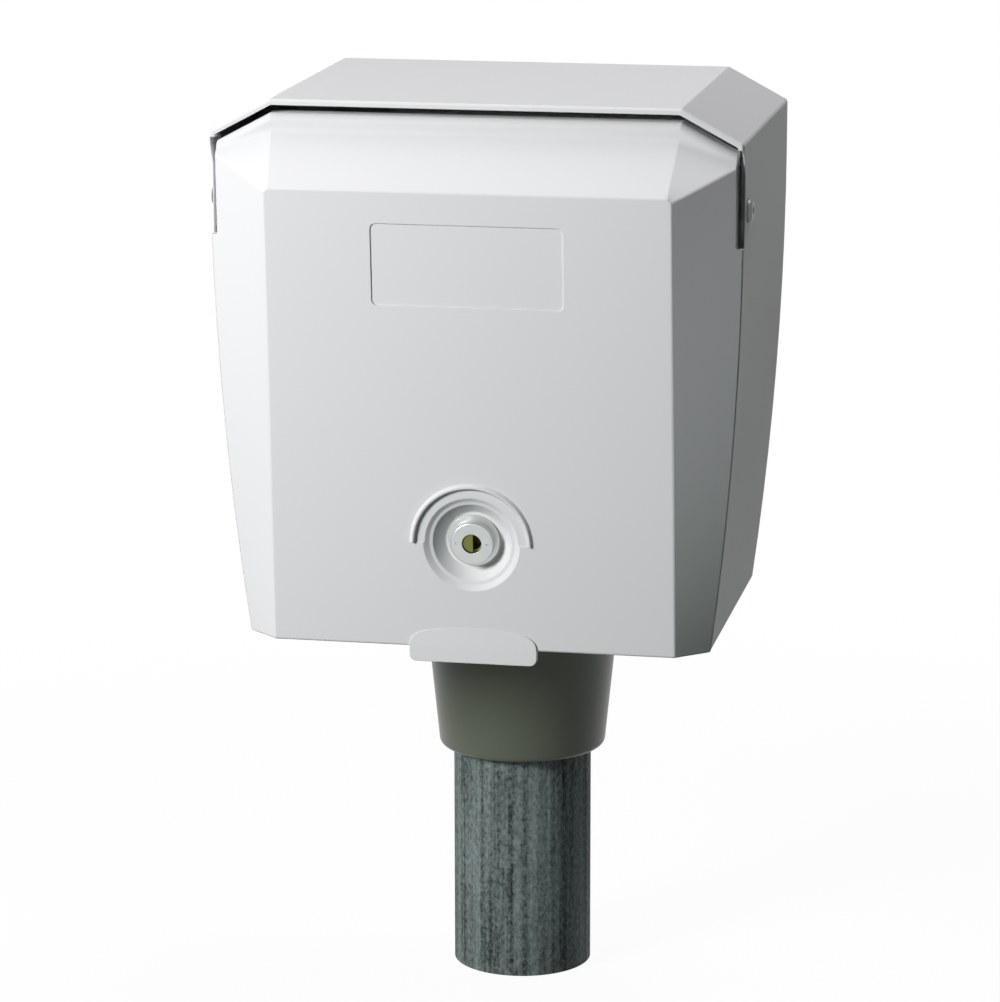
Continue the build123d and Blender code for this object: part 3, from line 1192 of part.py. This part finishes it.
def make_lid(side):
    """A flat sprung lid that hangs from its pin over the socket."""
    x = side * SOCKET_X
    barrel_half = LID_HALF_WIDTH - SOCKET_FLANGE_ROUND - LID_EAR_WALL - SIDE_CLEARANCE
    back = SOCKET_FRONT_Y - LID_GAP
    top = lid_ear_foot() - SIDE_CLEARANCE
    foot = LID_PIN_HEIGHT - LID_DROP
    middle = (top + foot) / 2
    plate = extrude(on_front(back) * Pos(x, middle) * RectangleRounded(
        2 * LID_HALF_WIDTH, top - foot, LID_ROUND), LID_WALL)
    neck = block(x - barrel_half, x + barrel_half, back - LID_WALL, back,
                 top - LID_ROUND, LID_PIN_HEIGHT)
    barrel = rod_x(LID_PIN_Y, LID_PIN_HEIGHT, LID_BARREL_RADIUS, x - barrel_half, x + barrel_half)
    lift = block(x - LID_LIFT_WIDTH / 2, x + LID_LIFT_WIDTH / 2,
                 back - LID_WALL - LID_LIFT_REACH, back - LID_WALL / 2, foot, foot + LID_WALL)
    lid = plate + neck + barrel + lift
    return lid - rod_x(LID_PIN_Y, LID_PIN_HEIGHT, LID_PIN_RADIUS + RUNNING_FIT, x - FAR, x + FAR)


def make_lid_pin(side):
    """The steel pin of a socket lid."""
    x = side * SOCKET_X
    half = LID_HALF_WIDTH - SOCKET_FLANGE_ROUND
    return rod_x(LID_PIN_Y, LID_PIN_HEIGHT, LID_PIN_RADIUS, x - half, x + half)


# All nodes

keep("rear_housing", make_rear_housing())
keep("front_cover", make_front_cover())
keep("post_tube", make_post())
keep("pole_collar", make_collar())
keep("clamp_saddle", make_clamp_saddle())
keep("mounting_plate", make_mounting_plate())
keep("top_hat_rail", make_rail())
keep("inner_fascia", make_fascia())
keep("terminal_block", make_terminal_block())
keep("terminal_screws", make_block_screws())
keep("earth_bar", make_earth_bar())
keep("lock_housing", make_lock_housing())
keep("lock_plug", make_lock_plug())
keep("lock_cam", make_lock_cam())
keep("cam_screw", make_cam_screw())
keep("lock_nut", make_lock_nut())
keep("striker_plate", make_striker())
for SIDE, WORD in ((-1, "left"), (1, "right")):
    keep(f"hinge_screw_{WORD}", make_hinge_screw(SIDE))
    keep(f"hinge_bush_{WORD}", make_hinge_bush(SIDE))
    keep(f"clamp_bolt_{WORD}", make_clamp_bolt(SIDE))
    keep(f"breaker_{WORD}", make_breaker(SIDE))
    keep(f"breaker_lever_{WORD}", make_lever(SIDE))
    keep(f"test_button_{WORD}", make_test_button(SIDE))
    keep(f"socket_{WORD}", make_socket(SIDE))
    keep(f"socket_contacts_{WORD}", make_contacts(SIDE))
    keep(f"socket_lid_{WORD}", make_lid(SIDE))
    keep(f"lid_pin_{WORD}", make_lid_pin(SIDE))
keep("plate_screws", Compound(children=[
    pan_screw(x, height, PLATE_FRONT_Y, PLATE_WALL + SMALL_SCREW_GRIP)
    for x, height in plate_screw_places()]))
keep("rail_screws", Compound(children=[
    pan_screw(side * RAIL_SCREW_X, RAIL_HEIGHT, PLATE_FRONT_Y - RAIL_WALL, SMALL_SCREW_GRIP)
    for side in (1, -1)]))
keep("earth_bar_screw", pan_screw(
    EARTH_BAR_X, EARTH_BAR_HEIGHT, PLATE_FRONT_Y - EARTH_BAR_SIDE,
    EARTH_BAR_SIDE + PLATE_WALL + EARTH_SCREW_PAST))
keep("fascia_screws", Compound(children=[
    pan_screw(x, height, FASCIA_FRONT_Y, FASCIA_WALL + SMALL_SCREW_GRIP)
    for x, height in fascia_screw_places()]))
keep("collar_screws", Compound(children=[
    upright_screw(x, y, HOUSING_WALL, HOUSING_WALL + 2 * SMALL_SCREW_GRIP)
    for x, y in collar_screw_places()]))
keep("striker_screws", Compound(children=[
    upright_screw(x, striker_screw_y(), HOUSING_WALL + STRIKER_WALL, HOUSING_WALL + STRIKER_WALL)
    for x in (STRIKER_SCREW_X, -STRIKER_SCREW_X)]))

os.makedirs("parts", exist_ok=True)
for NAME, SHAPE in PARTS.items():
    export_step(SHAPE, f"parts/{NAME}.step")
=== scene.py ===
"""Dresses and lights an outdoor electrical enclosure on a round post."""

from __future__ import annotations

import logging
import math
from dataclasses import dataclass, field
from enum import Enum

import bmesh
import bpy
from mathutils import Matrix, Vector


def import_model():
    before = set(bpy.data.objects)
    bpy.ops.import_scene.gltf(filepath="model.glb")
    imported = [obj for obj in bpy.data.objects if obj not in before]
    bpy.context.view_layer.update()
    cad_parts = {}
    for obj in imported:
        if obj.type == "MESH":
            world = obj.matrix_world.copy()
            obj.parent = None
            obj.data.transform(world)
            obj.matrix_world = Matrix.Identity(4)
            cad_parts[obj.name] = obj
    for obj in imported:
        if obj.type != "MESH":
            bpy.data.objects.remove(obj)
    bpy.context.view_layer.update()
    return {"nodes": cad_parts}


LOG = logging.getLogger("enclosure")

Colour = tuple[float, float, float]
Triple = tuple[float, float, float]

MM = 0.001
BOX_Z = 171.0 * MM
SIDES = ("left", "right")
WHITE: Colour = (1.0, 1.0, 1.0)
EVEN: Triple = (1.0, 1.0, 1.0)

SCREEN_TOP = 255.0
CURVE_FOOT = 0.04045
CURVE_SLOPE = 12.92
CURVE_SHIFT = 0.055
CURVE_POWER = 2.4


def from_screen(red: float, green: float, blue: float) -> Colour:
    """Turn a colour on the 0 to 255 screen scale into a scene colour.

    Args:
        red: The red level.
        green: The green level.
        blue: The blue level.

    Returns:
        The colour in linear light.
    """
    def level(value: float) -> float:
        """Undo the screen's curve for one channel.

        Args:
            value: The channel's screen level.

        Returns:
            Its level in linear light.
        """
        share = value / SCREEN_TOP
        if share <= CURVE_FOOT:
            return share / CURVE_SLOPE
        return ((share + CURVE_SHIFT) / (1.0 + CURVE_SHIFT)) ** CURVE_POWER
    return (level(red), level(green), level(blue))


def dimmed(colour: Colour, share: float) -> Colour:
    """Give a colour at a share of its level.

    Args:
        colour: The full colour.
        share: How much of it is left.

    Returns:
        The dimmer colour.
    """
    red, green, blue = colour
    return (red * share, green * share, blue * share)


class Signal:
    """A node's output, which takes part in Python sums and products if it holds a number."""

    def __init__(self, graph: Graph, socket: bpy.types.NodeSocket) -> None:
        """Wrap one output socket.

        Args:
            graph: The graph that the socket belongs to.
            socket: The output socket.
        """
        self.graph = graph
        self.socket = socket

    def __add__(self, other: Signal | float) -> Signal:
        """Add a value."""
        return self.graph.math("ADD", self, other)

    def __radd__(self, other: float) -> Signal:
        """Add to a plain number."""
        return self.graph.math("ADD", other, self)

    def __sub__(self, other: Signal | float) -> Signal:
        """Take a value away."""
        return self.graph.math("SUBTRACT", self, other)

    def __rsub__(self, other: float) -> Signal:
        """Take this away from a plain number."""
        return self.graph.math("SUBTRACT", other, self)

    def __mul__(self, other: Signal | float) -> Signal:
        """Multiply by a value."""
        return self.graph.math("MULTIPLY", self, other)

    def __rmul__(self, other: float) -> Signal:
        """Multiply a plain number."""
        return self.graph.math("MULTIPLY", other, self)

    def clamped(self) -> Signal:
        """Keep between nought and one."""
        return self.graph.math("ADD", self, 0.0, clamp=True)


@dataclass(frozen=True)
class Clouds:
    """How fine, how layered, how rough and how stretched a noise is.

    The scale counts clouds in a metre, the detail counts finer layers, the roughness is
    those layers' strength, and the stretch holds factors along the three axes.
    """

    scale: float
    detail: float
    roughness: float
    stretch: Triple = EVEN


class Graph:
    """A node tree whose nodes are all made through one method."""

    def __init__(self, tree: bpy.types.NodeTree) -> None:
        """Take over a tree and empty it.

        Args:
            tree: The node tree.
        """
        tree.nodes.clear()
        self.tree = tree

    def node(self, kind: str, settings: dict[str, object] | None = None,
             inputs: dict[str | int, object] | None = None) -> bpy.types.Node:
        """Add a node, its settings first and then its sockets.

        Args:
            kind: The node's type.
            settings: The node's own properties.
            inputs: Values or signals, by socket name or number.

        Returns:
            The node.
        """
        made = self.tree.nodes.new(kind)
        for key, value in (settings or {}).items():
            setattr(made, key, value)
        for key, value in (inputs or {}).items():
            self.feed(made, key, value)
        return made

    def signal(self, kind: str, settings: dict[str, object] | None = None,
               inputs: dict[str | int, object] | None = None,
               output: str | int = 0) -> Signal:
        """Add a node and give one of its outputs.

        Args:
            kind: The node's type.
            settings: The node's own properties.
            inputs: Values or signals, by socket name or number.
            output: The output's name or number.

        Returns:
            The output.
        """
        return Signal(self, self.node(kind, settings, inputs).outputs[output])

    def feed(self, made: bpy.types.Node, key: str | int, value: object) -> None:
        """Link a signal to a socket, or set the socket's own value.

        Args:
            made: The node.
            key: The socket's name or number.
            value: A signal, a number, a vector or a colour.
        """
        socket = made.inputs[key]
        if isinstance(value, Signal):
            self.tree.links.new(value.socket, socket)
        elif isinstance(value, tuple) and socket.type == "RGBA":
            socket.default_value = (*value, 1.0)
        else:
            socket.default_value = value

    def math(self, operation: str, first: Signal | float, second: Signal | float,
             clamp: bool = False) -> Signal:
        """Add a Math node.

        Args:
            operation: The sum to do.
            first: The first value.
            second: The second value.
            clamp: Whether the result stays between nought and one.

        Returns:
            The result.
        """
        return self.signal("ShaderNodeMath", {"operation": operation, "use_clamp": clamp},
                           {0: first, 1: second})


class Recipe(Graph):
    """A material's nodes round one Principled shader."""

    MIX_FACTOR, MIX_LOW, MIX_HIGH, MIX_COLOUR = "Factor", 6, 7, 2
    BEVEL_SAMPLES = 4

    def __init__(self, name: str) -> None:
        """Start a material with a plain Principled shader.

        Args:
            name: The material's name.
        """
        self.material = bpy.data.materials.new(name)
        self.material.use_nodes = True
        super().__init__(self.material.node_tree)
        self.shader = self.node("ShaderNodeBsdfPrincipled")
        self.node("ShaderNodeOutputMaterial", None, {
            "Surface": Signal(self, self.shader.outputs["BSDF"])})
        self._places: dict[Triple, Signal] = {}

    def place(self, stretch: Triple) -> Signal:
        """Give the object's own coordinates, stretched.

        Args:
            stretch: Factors along the three axes.

        Returns:
            The coordinates.
        """
        if stretch not in self._places:
            source = self.signal("ShaderNodeTexCoord", output="Object")
            self._places[stretch] = self.signal(
                "ShaderNodeMapping", {"vector_type": "POINT"},
                {"Vector": source, "Scale": Vector(stretch)}, "Vector")
        return self._places[stretch]

    def noise(self, clouds: Clouds) -> Signal:
        """Give cloudy noise between nought and one.

        Args:
            clouds: The noise's fineness and stretch.

        Returns:
            The noise.
        """
        return self.signal("ShaderNodeTexNoise", None, {
            "Vector": self.place(clouds.stretch), "Scale": clouds.scale,
            "Detail": clouds.detail, "Roughness": clouds.roughness}, "Fac")

    def tint(self, factor: Signal, low: Colour | Signal, high: Colour | Signal) -> Signal:
        """Blend two colours.

        Args:
            factor: Nought for the first and one for the second.
            low: The first colour.
            high: The second colour.

        Returns:
            The blend.
        """
        return self.signal("ShaderNodeMix", {"data_type": "RGBA"}, {
            self.MIX_FACTOR: factor, self.MIX_LOW: low, self.MIX_HIGH: high},
            self.MIX_COLOUR)

    def relief(self, height: Signal, distance: float, edge: float) -> None:
        """Raise the surface by a height, with softened edges under it.

        Args:
            height: The height, from nought to one.
            distance: What one is, in metres.
            edge: The radius that sharp edges look rounded to, in metres.
        """
        soft = self.signal("ShaderNodeBevel", {"samples": self.BEVEL_SAMPLES},
                           {"Radius": edge}, "Normal")
        bump = self.signal("ShaderNodeBump", None, {
            "Height": height, "Strength": 1.0, "Distance": distance, "Normal": soft},
            "Normal")
        self.feed(self.shader, "Normal", bump)

    def surface(self, **sockets: object) -> bpy.types.Material:
        """Set the shader's sockets.

        Args:
            sockets: Values or signals by socket name, with underscores for spaces.

        Returns:
            The material.
        """
        for name, value in sockets.items():
            self.feed(self.shader, name.replace("_", " "), value)
        return self.material


@dataclass(frozen=True)
class Moulding:
    """Satin moulded plastic with a fine eroded grain and a little dust."""

    name: str
    colour: Colour
    roughness: float = 0.42
    specular: float = 0.5
    grain: float = 0.00001
    edge: float = 0.0005
    dust: float = 0.03
    patchiness: float = 0.1
    speck_level: float = 0.66
    speck_gain: float = 6.0
    speck_depth: float = 2.0
    patches: Clouds = Clouds(9.0, 3.0, 0.55)
    erosion: Clouds = Clouds(2600.0, 2.0, 0.6)
    specks: Clouds = Clouds(420.0, 3.0, 0.7)

    def make(self) -> bpy.types.Material:
        """Build the material.

        Returns:
            The material.
        """
        recipe = Recipe(self.name)
        cloud = recipe.noise(self.patches)
        speck = (recipe.noise(self.specks) - self.speck_level).clamped() * self.speck_gain
        dusty = dimmed(self.colour, 1.0 - self.dust)
        colour = recipe.tint(cloud, dusty, self.colour)
        colour = recipe.tint((speck * self.dust * self.speck_depth).clamped(), colour, dusty)
        recipe.relief(recipe.noise(self.erosion), self.grain, self.edge)
        return recipe.surface(
            Base_Color=colour, Specular_IOR_Level=self.specular,
            Roughness=self.roughness - self.patchiness / 2.0 + self.patchiness * cloud)


@dataclass(frozen=True)
class Zinc:
    """Hot-dip zinc with a fine dull mottling and streaks along the tube."""

    name: str
    light: Colour
    dark: Colour
    roughness: float = 0.56
    dulling: float = 0.2
    metallic: float = 0.1
    specular: float = 0.15
    relief: float = 0.00009
    run_relief: float = 0.5
    edge: float = 0.0004
    run_share: float = 0.42
    grain_share: float = 0.40
    cloud_share: float = 0.18
    middle: float = 0.40
    contrast: float = 4.4
    runs: Clouds = Clouds(206.0, 5.0, 0.72, (1.0, 1.0, 0.012))
    grains: Clouds = Clouds(650.0, 5.0, 0.78, (1.0, 1.0, 0.7))
    clouds: Clouds = Clouds(45.0, 4.0, 0.6, (1.0, 1.0, 0.3))

    def make(self) -> bpy.types.Material:
        """Build the material.

        Returns:
            The material.
        """
        recipe = Recipe(self.name)
        runs = recipe.noise(self.runs)
        grain = recipe.noise(self.grains)
        cloud = recipe.noise(self.clouds)
        mottle = self.run_share * runs + self.grain_share * grain + self.cloud_share * cloud
        spread = ((mottle - self.middle) * self.contrast).clamped()
        recipe.relief(grain + self.run_relief * runs, self.relief, self.edge)
        return recipe.surface(
            Base_Color=recipe.tint(spread, self.dark, self.light), Metallic=self.metallic,
            Specular_IOR_Level=self.specular,
            Roughness=self.roughness + self.dulling * (1.0 - spread))


@dataclass(frozen=True)
class Metal:
    """Plain metal with a cloudy tone and a very fine grain."""

    name: str
    colour: Colour
    roughness: float = 0.3
    edge: float = 0.0003
    grain: float = 0.000006
    dimming: float = 0.86
    smoother: float = 0.06
    patchiness: float = 0.14
    patches: Clouds = Clouds(260.0, 3.0, 0.6)
    marks: Clouds = Clouds(3000.0, 2.0, 0.5)

    def make(self) -> bpy.types.Material:
        """Build the material.

        Returns:
            The material.
        """
        recipe = Recipe(self.name)
        cloud = recipe.noise(self.patches)
        recipe.relief(recipe.noise(self.marks), self.grain, self.edge)
        return recipe.surface(
            Base_Color=recipe.tint(cloud, dimmed(self.colour, self.dimming), self.colour),
            Metallic=1.0,
            Roughness=self.roughness - self.smoother + self.patchiness * cloud)


class Stuff(Enum):
    """The finishes that the enclosure's pieces share."""

    SHELL = Moulding("shell_grey", from_screen(221, 221, 223), roughness=0.57, specular=0.22)
    COLLAR = Moulding("collar_grey", from_screen(90, 95, 81), roughness=0.34, specular=0.3)
    FASCIA = Moulding("fascia_grey", from_screen(196, 198, 199), roughness=0.5)
    BREAKER = Moulding("breaker_white", from_screen(226, 226, 222), roughness=0.45)
    BLACK = Moulding("black_moulding", from_screen(34, 35, 37), roughness=0.4)
    NYLON = Moulding("bush_nylon", from_screen(62, 62, 60), roughness=0.5)
    TERMINAL = Moulding("terminal_beige", from_screen(206, 200, 182), roughness=0.5)
    SOCKET = Moulding("socket_blue", from_screen(54, 92, 140), roughness=0.45)
    BUTTON = Moulding("button_yellow", from_screen(226, 178, 40), roughness=0.25)
    ZINC = Zinc("hot_dip_zinc", from_screen(150, 164, 163), from_screen(6, 13, 13))
    STEEL = Metal("plated_steel", from_screen(160, 163, 163), roughness=0.36)
    BOLT = Metal("dull_steel", from_screen(104, 108, 108), roughness=0.42)
    LOCK = Metal("satin_nickel", from_screen(196, 200, 198), roughness=0.34)
    BRASS = Metal("plain_brass", from_screen(118, 120, 68), roughness=0.36)

    def material(self) -> bpy.types.Material:
        """Make the finish's material once, and give the same one after that.

        Returns:
            The material.
        """
        known = bpy.data.materials.get(self.value.name)
        return known if known else self.value.make()


@dataclass
class Assembly:
    """A group of the frame's nodes with a finish each."""

    nodes: dict[str, bpy.types.Object]
    finishes: dict[str, Stuff] = field(default_factory=dict)

    def dress(self) -> None:
        """Give each node of the group its finish."""
        for node, stuff in self.finishes.items():
            piece = self.nodes[node]
            if not piece.data.materials:
                piece.data.materials.append(stuff.material())
            for slot in piece.material_slots:
                slot.material = stuff.material()
            LOG.info("%s wears %s", node, stuff.value.name)


def paired(**stems: Stuff) -> dict[str, Stuff]:
    """Give the same finish to the left and the right node of each name.

    Args:
        stems: Finishes by the name's first part.

    Returns:
        Finishes by node.
    """
    return {f"{stem}_{word}": stuff for stem, stuff in stems.items() for word in SIDES}


@dataclass
class Shell(Assembly):
    """The hooded housing and the cover that hangs in it."""

    finishes: dict[str, Stuff] = field(default_factory=lambda: {
        "rear_housing": Stuff.SHELL,
        "front_cover": Stuff.SHELL,
        **paired(hinge_screw=Stuff.BOLT, hinge_bush=Stuff.NYLON),
    })


@dataclass
class Stand(Assembly):
    """The post, its collar and the clamp inside."""

    finishes: dict[str, Stuff] = field(default_factory=lambda: {
        "post_tube": Stuff.ZINC,
        "pole_collar": Stuff.COLLAR,
        "clamp_saddle": Stuff.ZINC,
        "collar_screws": Stuff.STEEL,
        **paired(clamp_bolt=Stuff.STEEL),
    })


@dataclass
class Lock(Assembly):
    """The cylinder lock in its dish, and the striker it holds."""

    finishes: dict[str, Stuff] = field(default_factory=lambda: {
        "lock_housing": Stuff.LOCK,
        "lock_nut": Stuff.LOCK,
        "lock_cam": Stuff.STEEL,
        "lock_plug": Stuff.BRASS,
        "cam_screw": Stuff.STEEL,
        "striker_plate": Stuff.STEEL,
        "striker_screws": Stuff.STEEL,
    })


@dataclass
class Fittings(Assembly):
    """The breakers, sockets and wiring points behind the cover."""

    finishes: dict[str, Stuff] = field(default_factory=lambda: {
        "mounting_plate": Stuff.ZINC,
        "top_hat_rail": Stuff.STEEL,
        "inner_fascia": Stuff.FASCIA,
        "terminal_block": Stuff.TERMINAL,
        "terminal_screws": Stuff.BRASS,
        "earth_bar": Stuff.BRASS,
        "earth_bar_screw": Stuff.STEEL,
        "plate_screws": Stuff.STEEL,
        "rail_screws": Stuff.STEEL,
        "fascia_screws": Stuff.STEEL,
        **paired(
            breaker=Stuff.BREAKER, breaker_lever=Stuff.BLACK, test_button=Stuff.BUTTON,
            socket=Stuff.SOCKET, socket_lid=Stuff.SOCKET, socket_contacts=Stuff.BRASS,
            lid_pin=Stuff.STEEL),
    })


@dataclass(frozen=True)
class Lamp:
    """A soft square lamp, set by its bearing from the point that it faces.

    Azimuth and height are in degrees, nought being straight in front, and the right is
    positive. Distance and size are in metres. Level is the tone, nought to one, that a
    matt white surface at that point shows when it faces the lamp.
    """

    name: str
    azimuth: float
    height: float
    distance: float
    size: float
    level: float

    def light(self, target: Vector) -> None:
        """Put the lamp in the scene.

        Args:
            target: The point that it faces.
        """
        turn = math.radians(self.azimuth)
        rise = math.radians(self.height)
        away = Vector((
            math.sin(turn) * math.cos(rise), -math.cos(turn) * math.cos(rise), math.sin(rise)))
        data = bpy.data.lights.new(self.name, "AREA")
        data.shape = "SQUARE"
        data.size = self.size
        data.energy = self.level * (math.pi * self.distance) ** 2
        lamp = bpy.data.objects.new(self.name, data)
        lamp.location = target + away * self.distance
        lamp.rotation_euler = away.to_track_quat("Z", "Y").to_euler()
        bpy.context.scene.collection.objects.link(lamp)


class Layers(Graph):
    """Plain shaders laid over each other in a material's or a world's tree."""

    SEEN = ("Is Camera Ray", "Is Glossy Ray", "Is Transmission Ray")

    def __init__(self, tree: bpy.types.NodeTree, output: str) -> None:
        """Start with an output node alone.

        Args:
            tree: The node tree.
            output: The type of its output node.
        """
        super().__init__(tree)
        self.output = self.node(output)

    def plain(self, kind: str, colour: Colour, **more: float) -> Signal:
        """Add a shader of one colour.

        Args:
            kind: The shader node's type.
            colour: Its colour.
            more: Its other sockets by name, such as a strength.

        Returns:
            The shader.
        """
        return self.signal(kind, None, {"Color": colour, **more})

    def seen(self) -> Signal:
        """Give one where the eye looks, straight or by a mirror or glass, else nought.

        Returns:
            The answer.
        """
        rays = self.node("ShaderNodeLightPath")
        camera, glossy, through = (Signal(self, rays.outputs[name]) for name in self.SEEN)
        return self.math("MAXIMUM", self.math("MAXIMUM", camera, glossy), through)

    def outward(self, near: float, far: float, low: float, high: float) -> Signal:
        """Give a value that changes with the distance from the object's origin.

        Args:
            near: The distance where the change starts, in metres.
            far: The distance where it ends.
            low: The value at and inside the near distance.
            high: The value at and outside the far distance.

        Returns:
            The value.
        """
        source = self.signal("ShaderNodeTexCoord", output="Object")
        length = self.signal("ShaderNodeVectorMath", {"operation": "LENGTH"}, {0: source},
                             "Value")
        return self.signal("ShaderNodeMapRange", {"interpolation_type": "SMOOTHSTEP"}, {
            "Value": length, "From Min": near, "From Max": far, "To Min": low,
            "To Max": high}, "Result")

    def mixed(self, share: Signal, first: Signal, second: Signal) -> Signal:
        """Mix two shaders.

        Args:
            share: Nought for the first and one for the second.
            first: The first shader.
            second: The second shader.

        Returns:
            The mix.
        """
        return self.signal("ShaderNodeMixShader", None, {0: share, 1: first, 2: second})

    def show(self, surface: Signal) -> None:
        """Send a shader to the output.

        Args:
            surface: The shader.
        """
        self.feed(self.output, "Surface", surface)


@dataclass
class Studio:
    """The floor, the pale surroundings, the lamps and the camera."""

    floor_radius: float = 9.0
    floor_segments: int = 96
    floor_drop: float = 0.0006
    floor_near: float = 0.25
    floor_far: float = 0.75
    floor_glow: float = 0.95
    floor_bounce: Colour = (0.10, 0.14, 0.12)
    floor_shade: Colour = (0.9, 0.9, 0.9)
    fill: float = 0.03
    fill_colour: Colour = (0.90, 1.0, 0.94)
    lit_point: Triple = (0.0, -0.05, BOX_Z + 0.1)
    lamps: tuple[Lamp, ...] = (
        Lamp("key", -39.0, 20.0, 1.25, 0.36, 1.11),
        Lamp("overhead", 139.0, 74.5, 1.8, 0.8, 0.52),
        Lamp("back", -152.0, 2.0, 2.2, 0.3, 0.30),
    )
    lens_mm: float = 151.2
    sensor_mm: float = 36.0
    clip_end: float = 60.0
    pitch: float = 13.10
    yaw: float = 11.05
    roll: float = -0.085
    eye_distance: float = 1830.64 * MM
    look_at: Triple = (-9.97 * MM, 0.0, 35.96 * MM + BOX_Z)

    def surroundings(self) -> None:
        """Make the world white to the eye and dim as a light."""
        world = bpy.data.worlds.new("surroundings")
        bpy.context.scene.world = world
        world.use_nodes = True
        layers = Layers(world.node_tree, "ShaderNodeOutputWorld")
        dim = layers.plain("ShaderNodeBackground", self.fill_colour, Strength=self.fill)
        white = layers.plain("ShaderNodeBackground", WHITE, Strength=1.0)
        layers.show(layers.mixed(layers.seen(), dim, white))

    def floor_material(self) -> bpy.types.Material:
        """Make a floor finish that is white to the eye and throws back little light.

        Returns:
            The material.
        """
        material = bpy.data.materials.new("floor_white")
        material.use_nodes = True
        layers = Layers(material.node_tree, "ShaderNodeOutputMaterial")
        bounce = layers.plain("ShaderNodeBsdfDiffuse", self.floor_bounce)
        shade = layers.plain("ShaderNodeBsdfDiffuse", self.floor_shade)
        glow = layers.plain("ShaderNodeEmission", WHITE, Strength=1.0)
        share = layers.outward(self.floor_near, self.floor_far, self.floor_glow, 1.0)
        layers.show(layers.mixed(layers.seen(), bounce, layers.mixed(share, shade, glow)))
        return material

    def floor(self) -> None:
        """Lay a round floor that keeps the object's shadow."""
        mesh = bmesh.new()
        bmesh.ops.create_circle(
            mesh, cap_ends=True, segments=self.floor_segments, radius=self.floor_radius,
            matrix=Matrix.Translation((0.0, 0.0, -self.floor_drop)))
        data = bpy.data.meshes.new("floor")
        mesh.to_mesh(data)
        mesh.free()
        plane = bpy.data.objects.new("floor", data)
        bpy.context.scene.collection.objects.link(plane)
        data.materials.append(self.floor_material())

    def camera(self) -> None:
        """Stand the camera where the photograph was taken from."""
        pitch = math.radians(self.pitch)
        yaw = math.radians(self.yaw)
        roll = math.radians(self.roll)
        ahead = Vector((
            -math.sin(yaw) * math.cos(pitch), math.cos(yaw) * math.cos(pitch),
            -math.sin(pitch)))
        across = Vector((math.cos(yaw), math.sin(yaw), 0.0))
        upward = across.cross(ahead)
        turned = math.cos(roll) * across + math.sin(roll) * upward
        raised = -math.sin(roll) * across + math.cos(roll) * upward
        data = bpy.data.cameras.new("camera")
        data.sensor_fit = "HORIZONTAL"
        data.sensor_width = self.sensor_mm
        data.lens = self.lens_mm
        data.clip_end = self.clip_end
        eye = bpy.data.objects.new("camera", data)
        facing = Matrix((turned, raised, -ahead)).transposed().to_4x4()
        eye.matrix_world = Matrix.Translation(
            Vector(self.look_at) - ahead * self.eye_distance) @ facing
        bpy.context.scene.collection.objects.link(eye)
        bpy.context.scene.camera = eye

    def build(self) -> None:
        """Set up the whole studio."""
        self.surroundings()
        self.floor()
        for lamp in self.lamps:
            lamp.light(Vector(self.lit_point))
        self.camera()
        bpy.context.scene.view_settings.view_transform = "Standard"


def main() -> None:
    """Load the frame, dress it, and set up the studio."""
    logging.basicConfig(level=logging.INFO, format="%(name)s: %(message)s")
    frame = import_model()
    for group in (Shell, Stand, Lock, Fittings):
        group(frame["nodes"]).dress()
    Studio().build()
    LOG.info("sizes written")


if __name__ == "__main__":
    main()
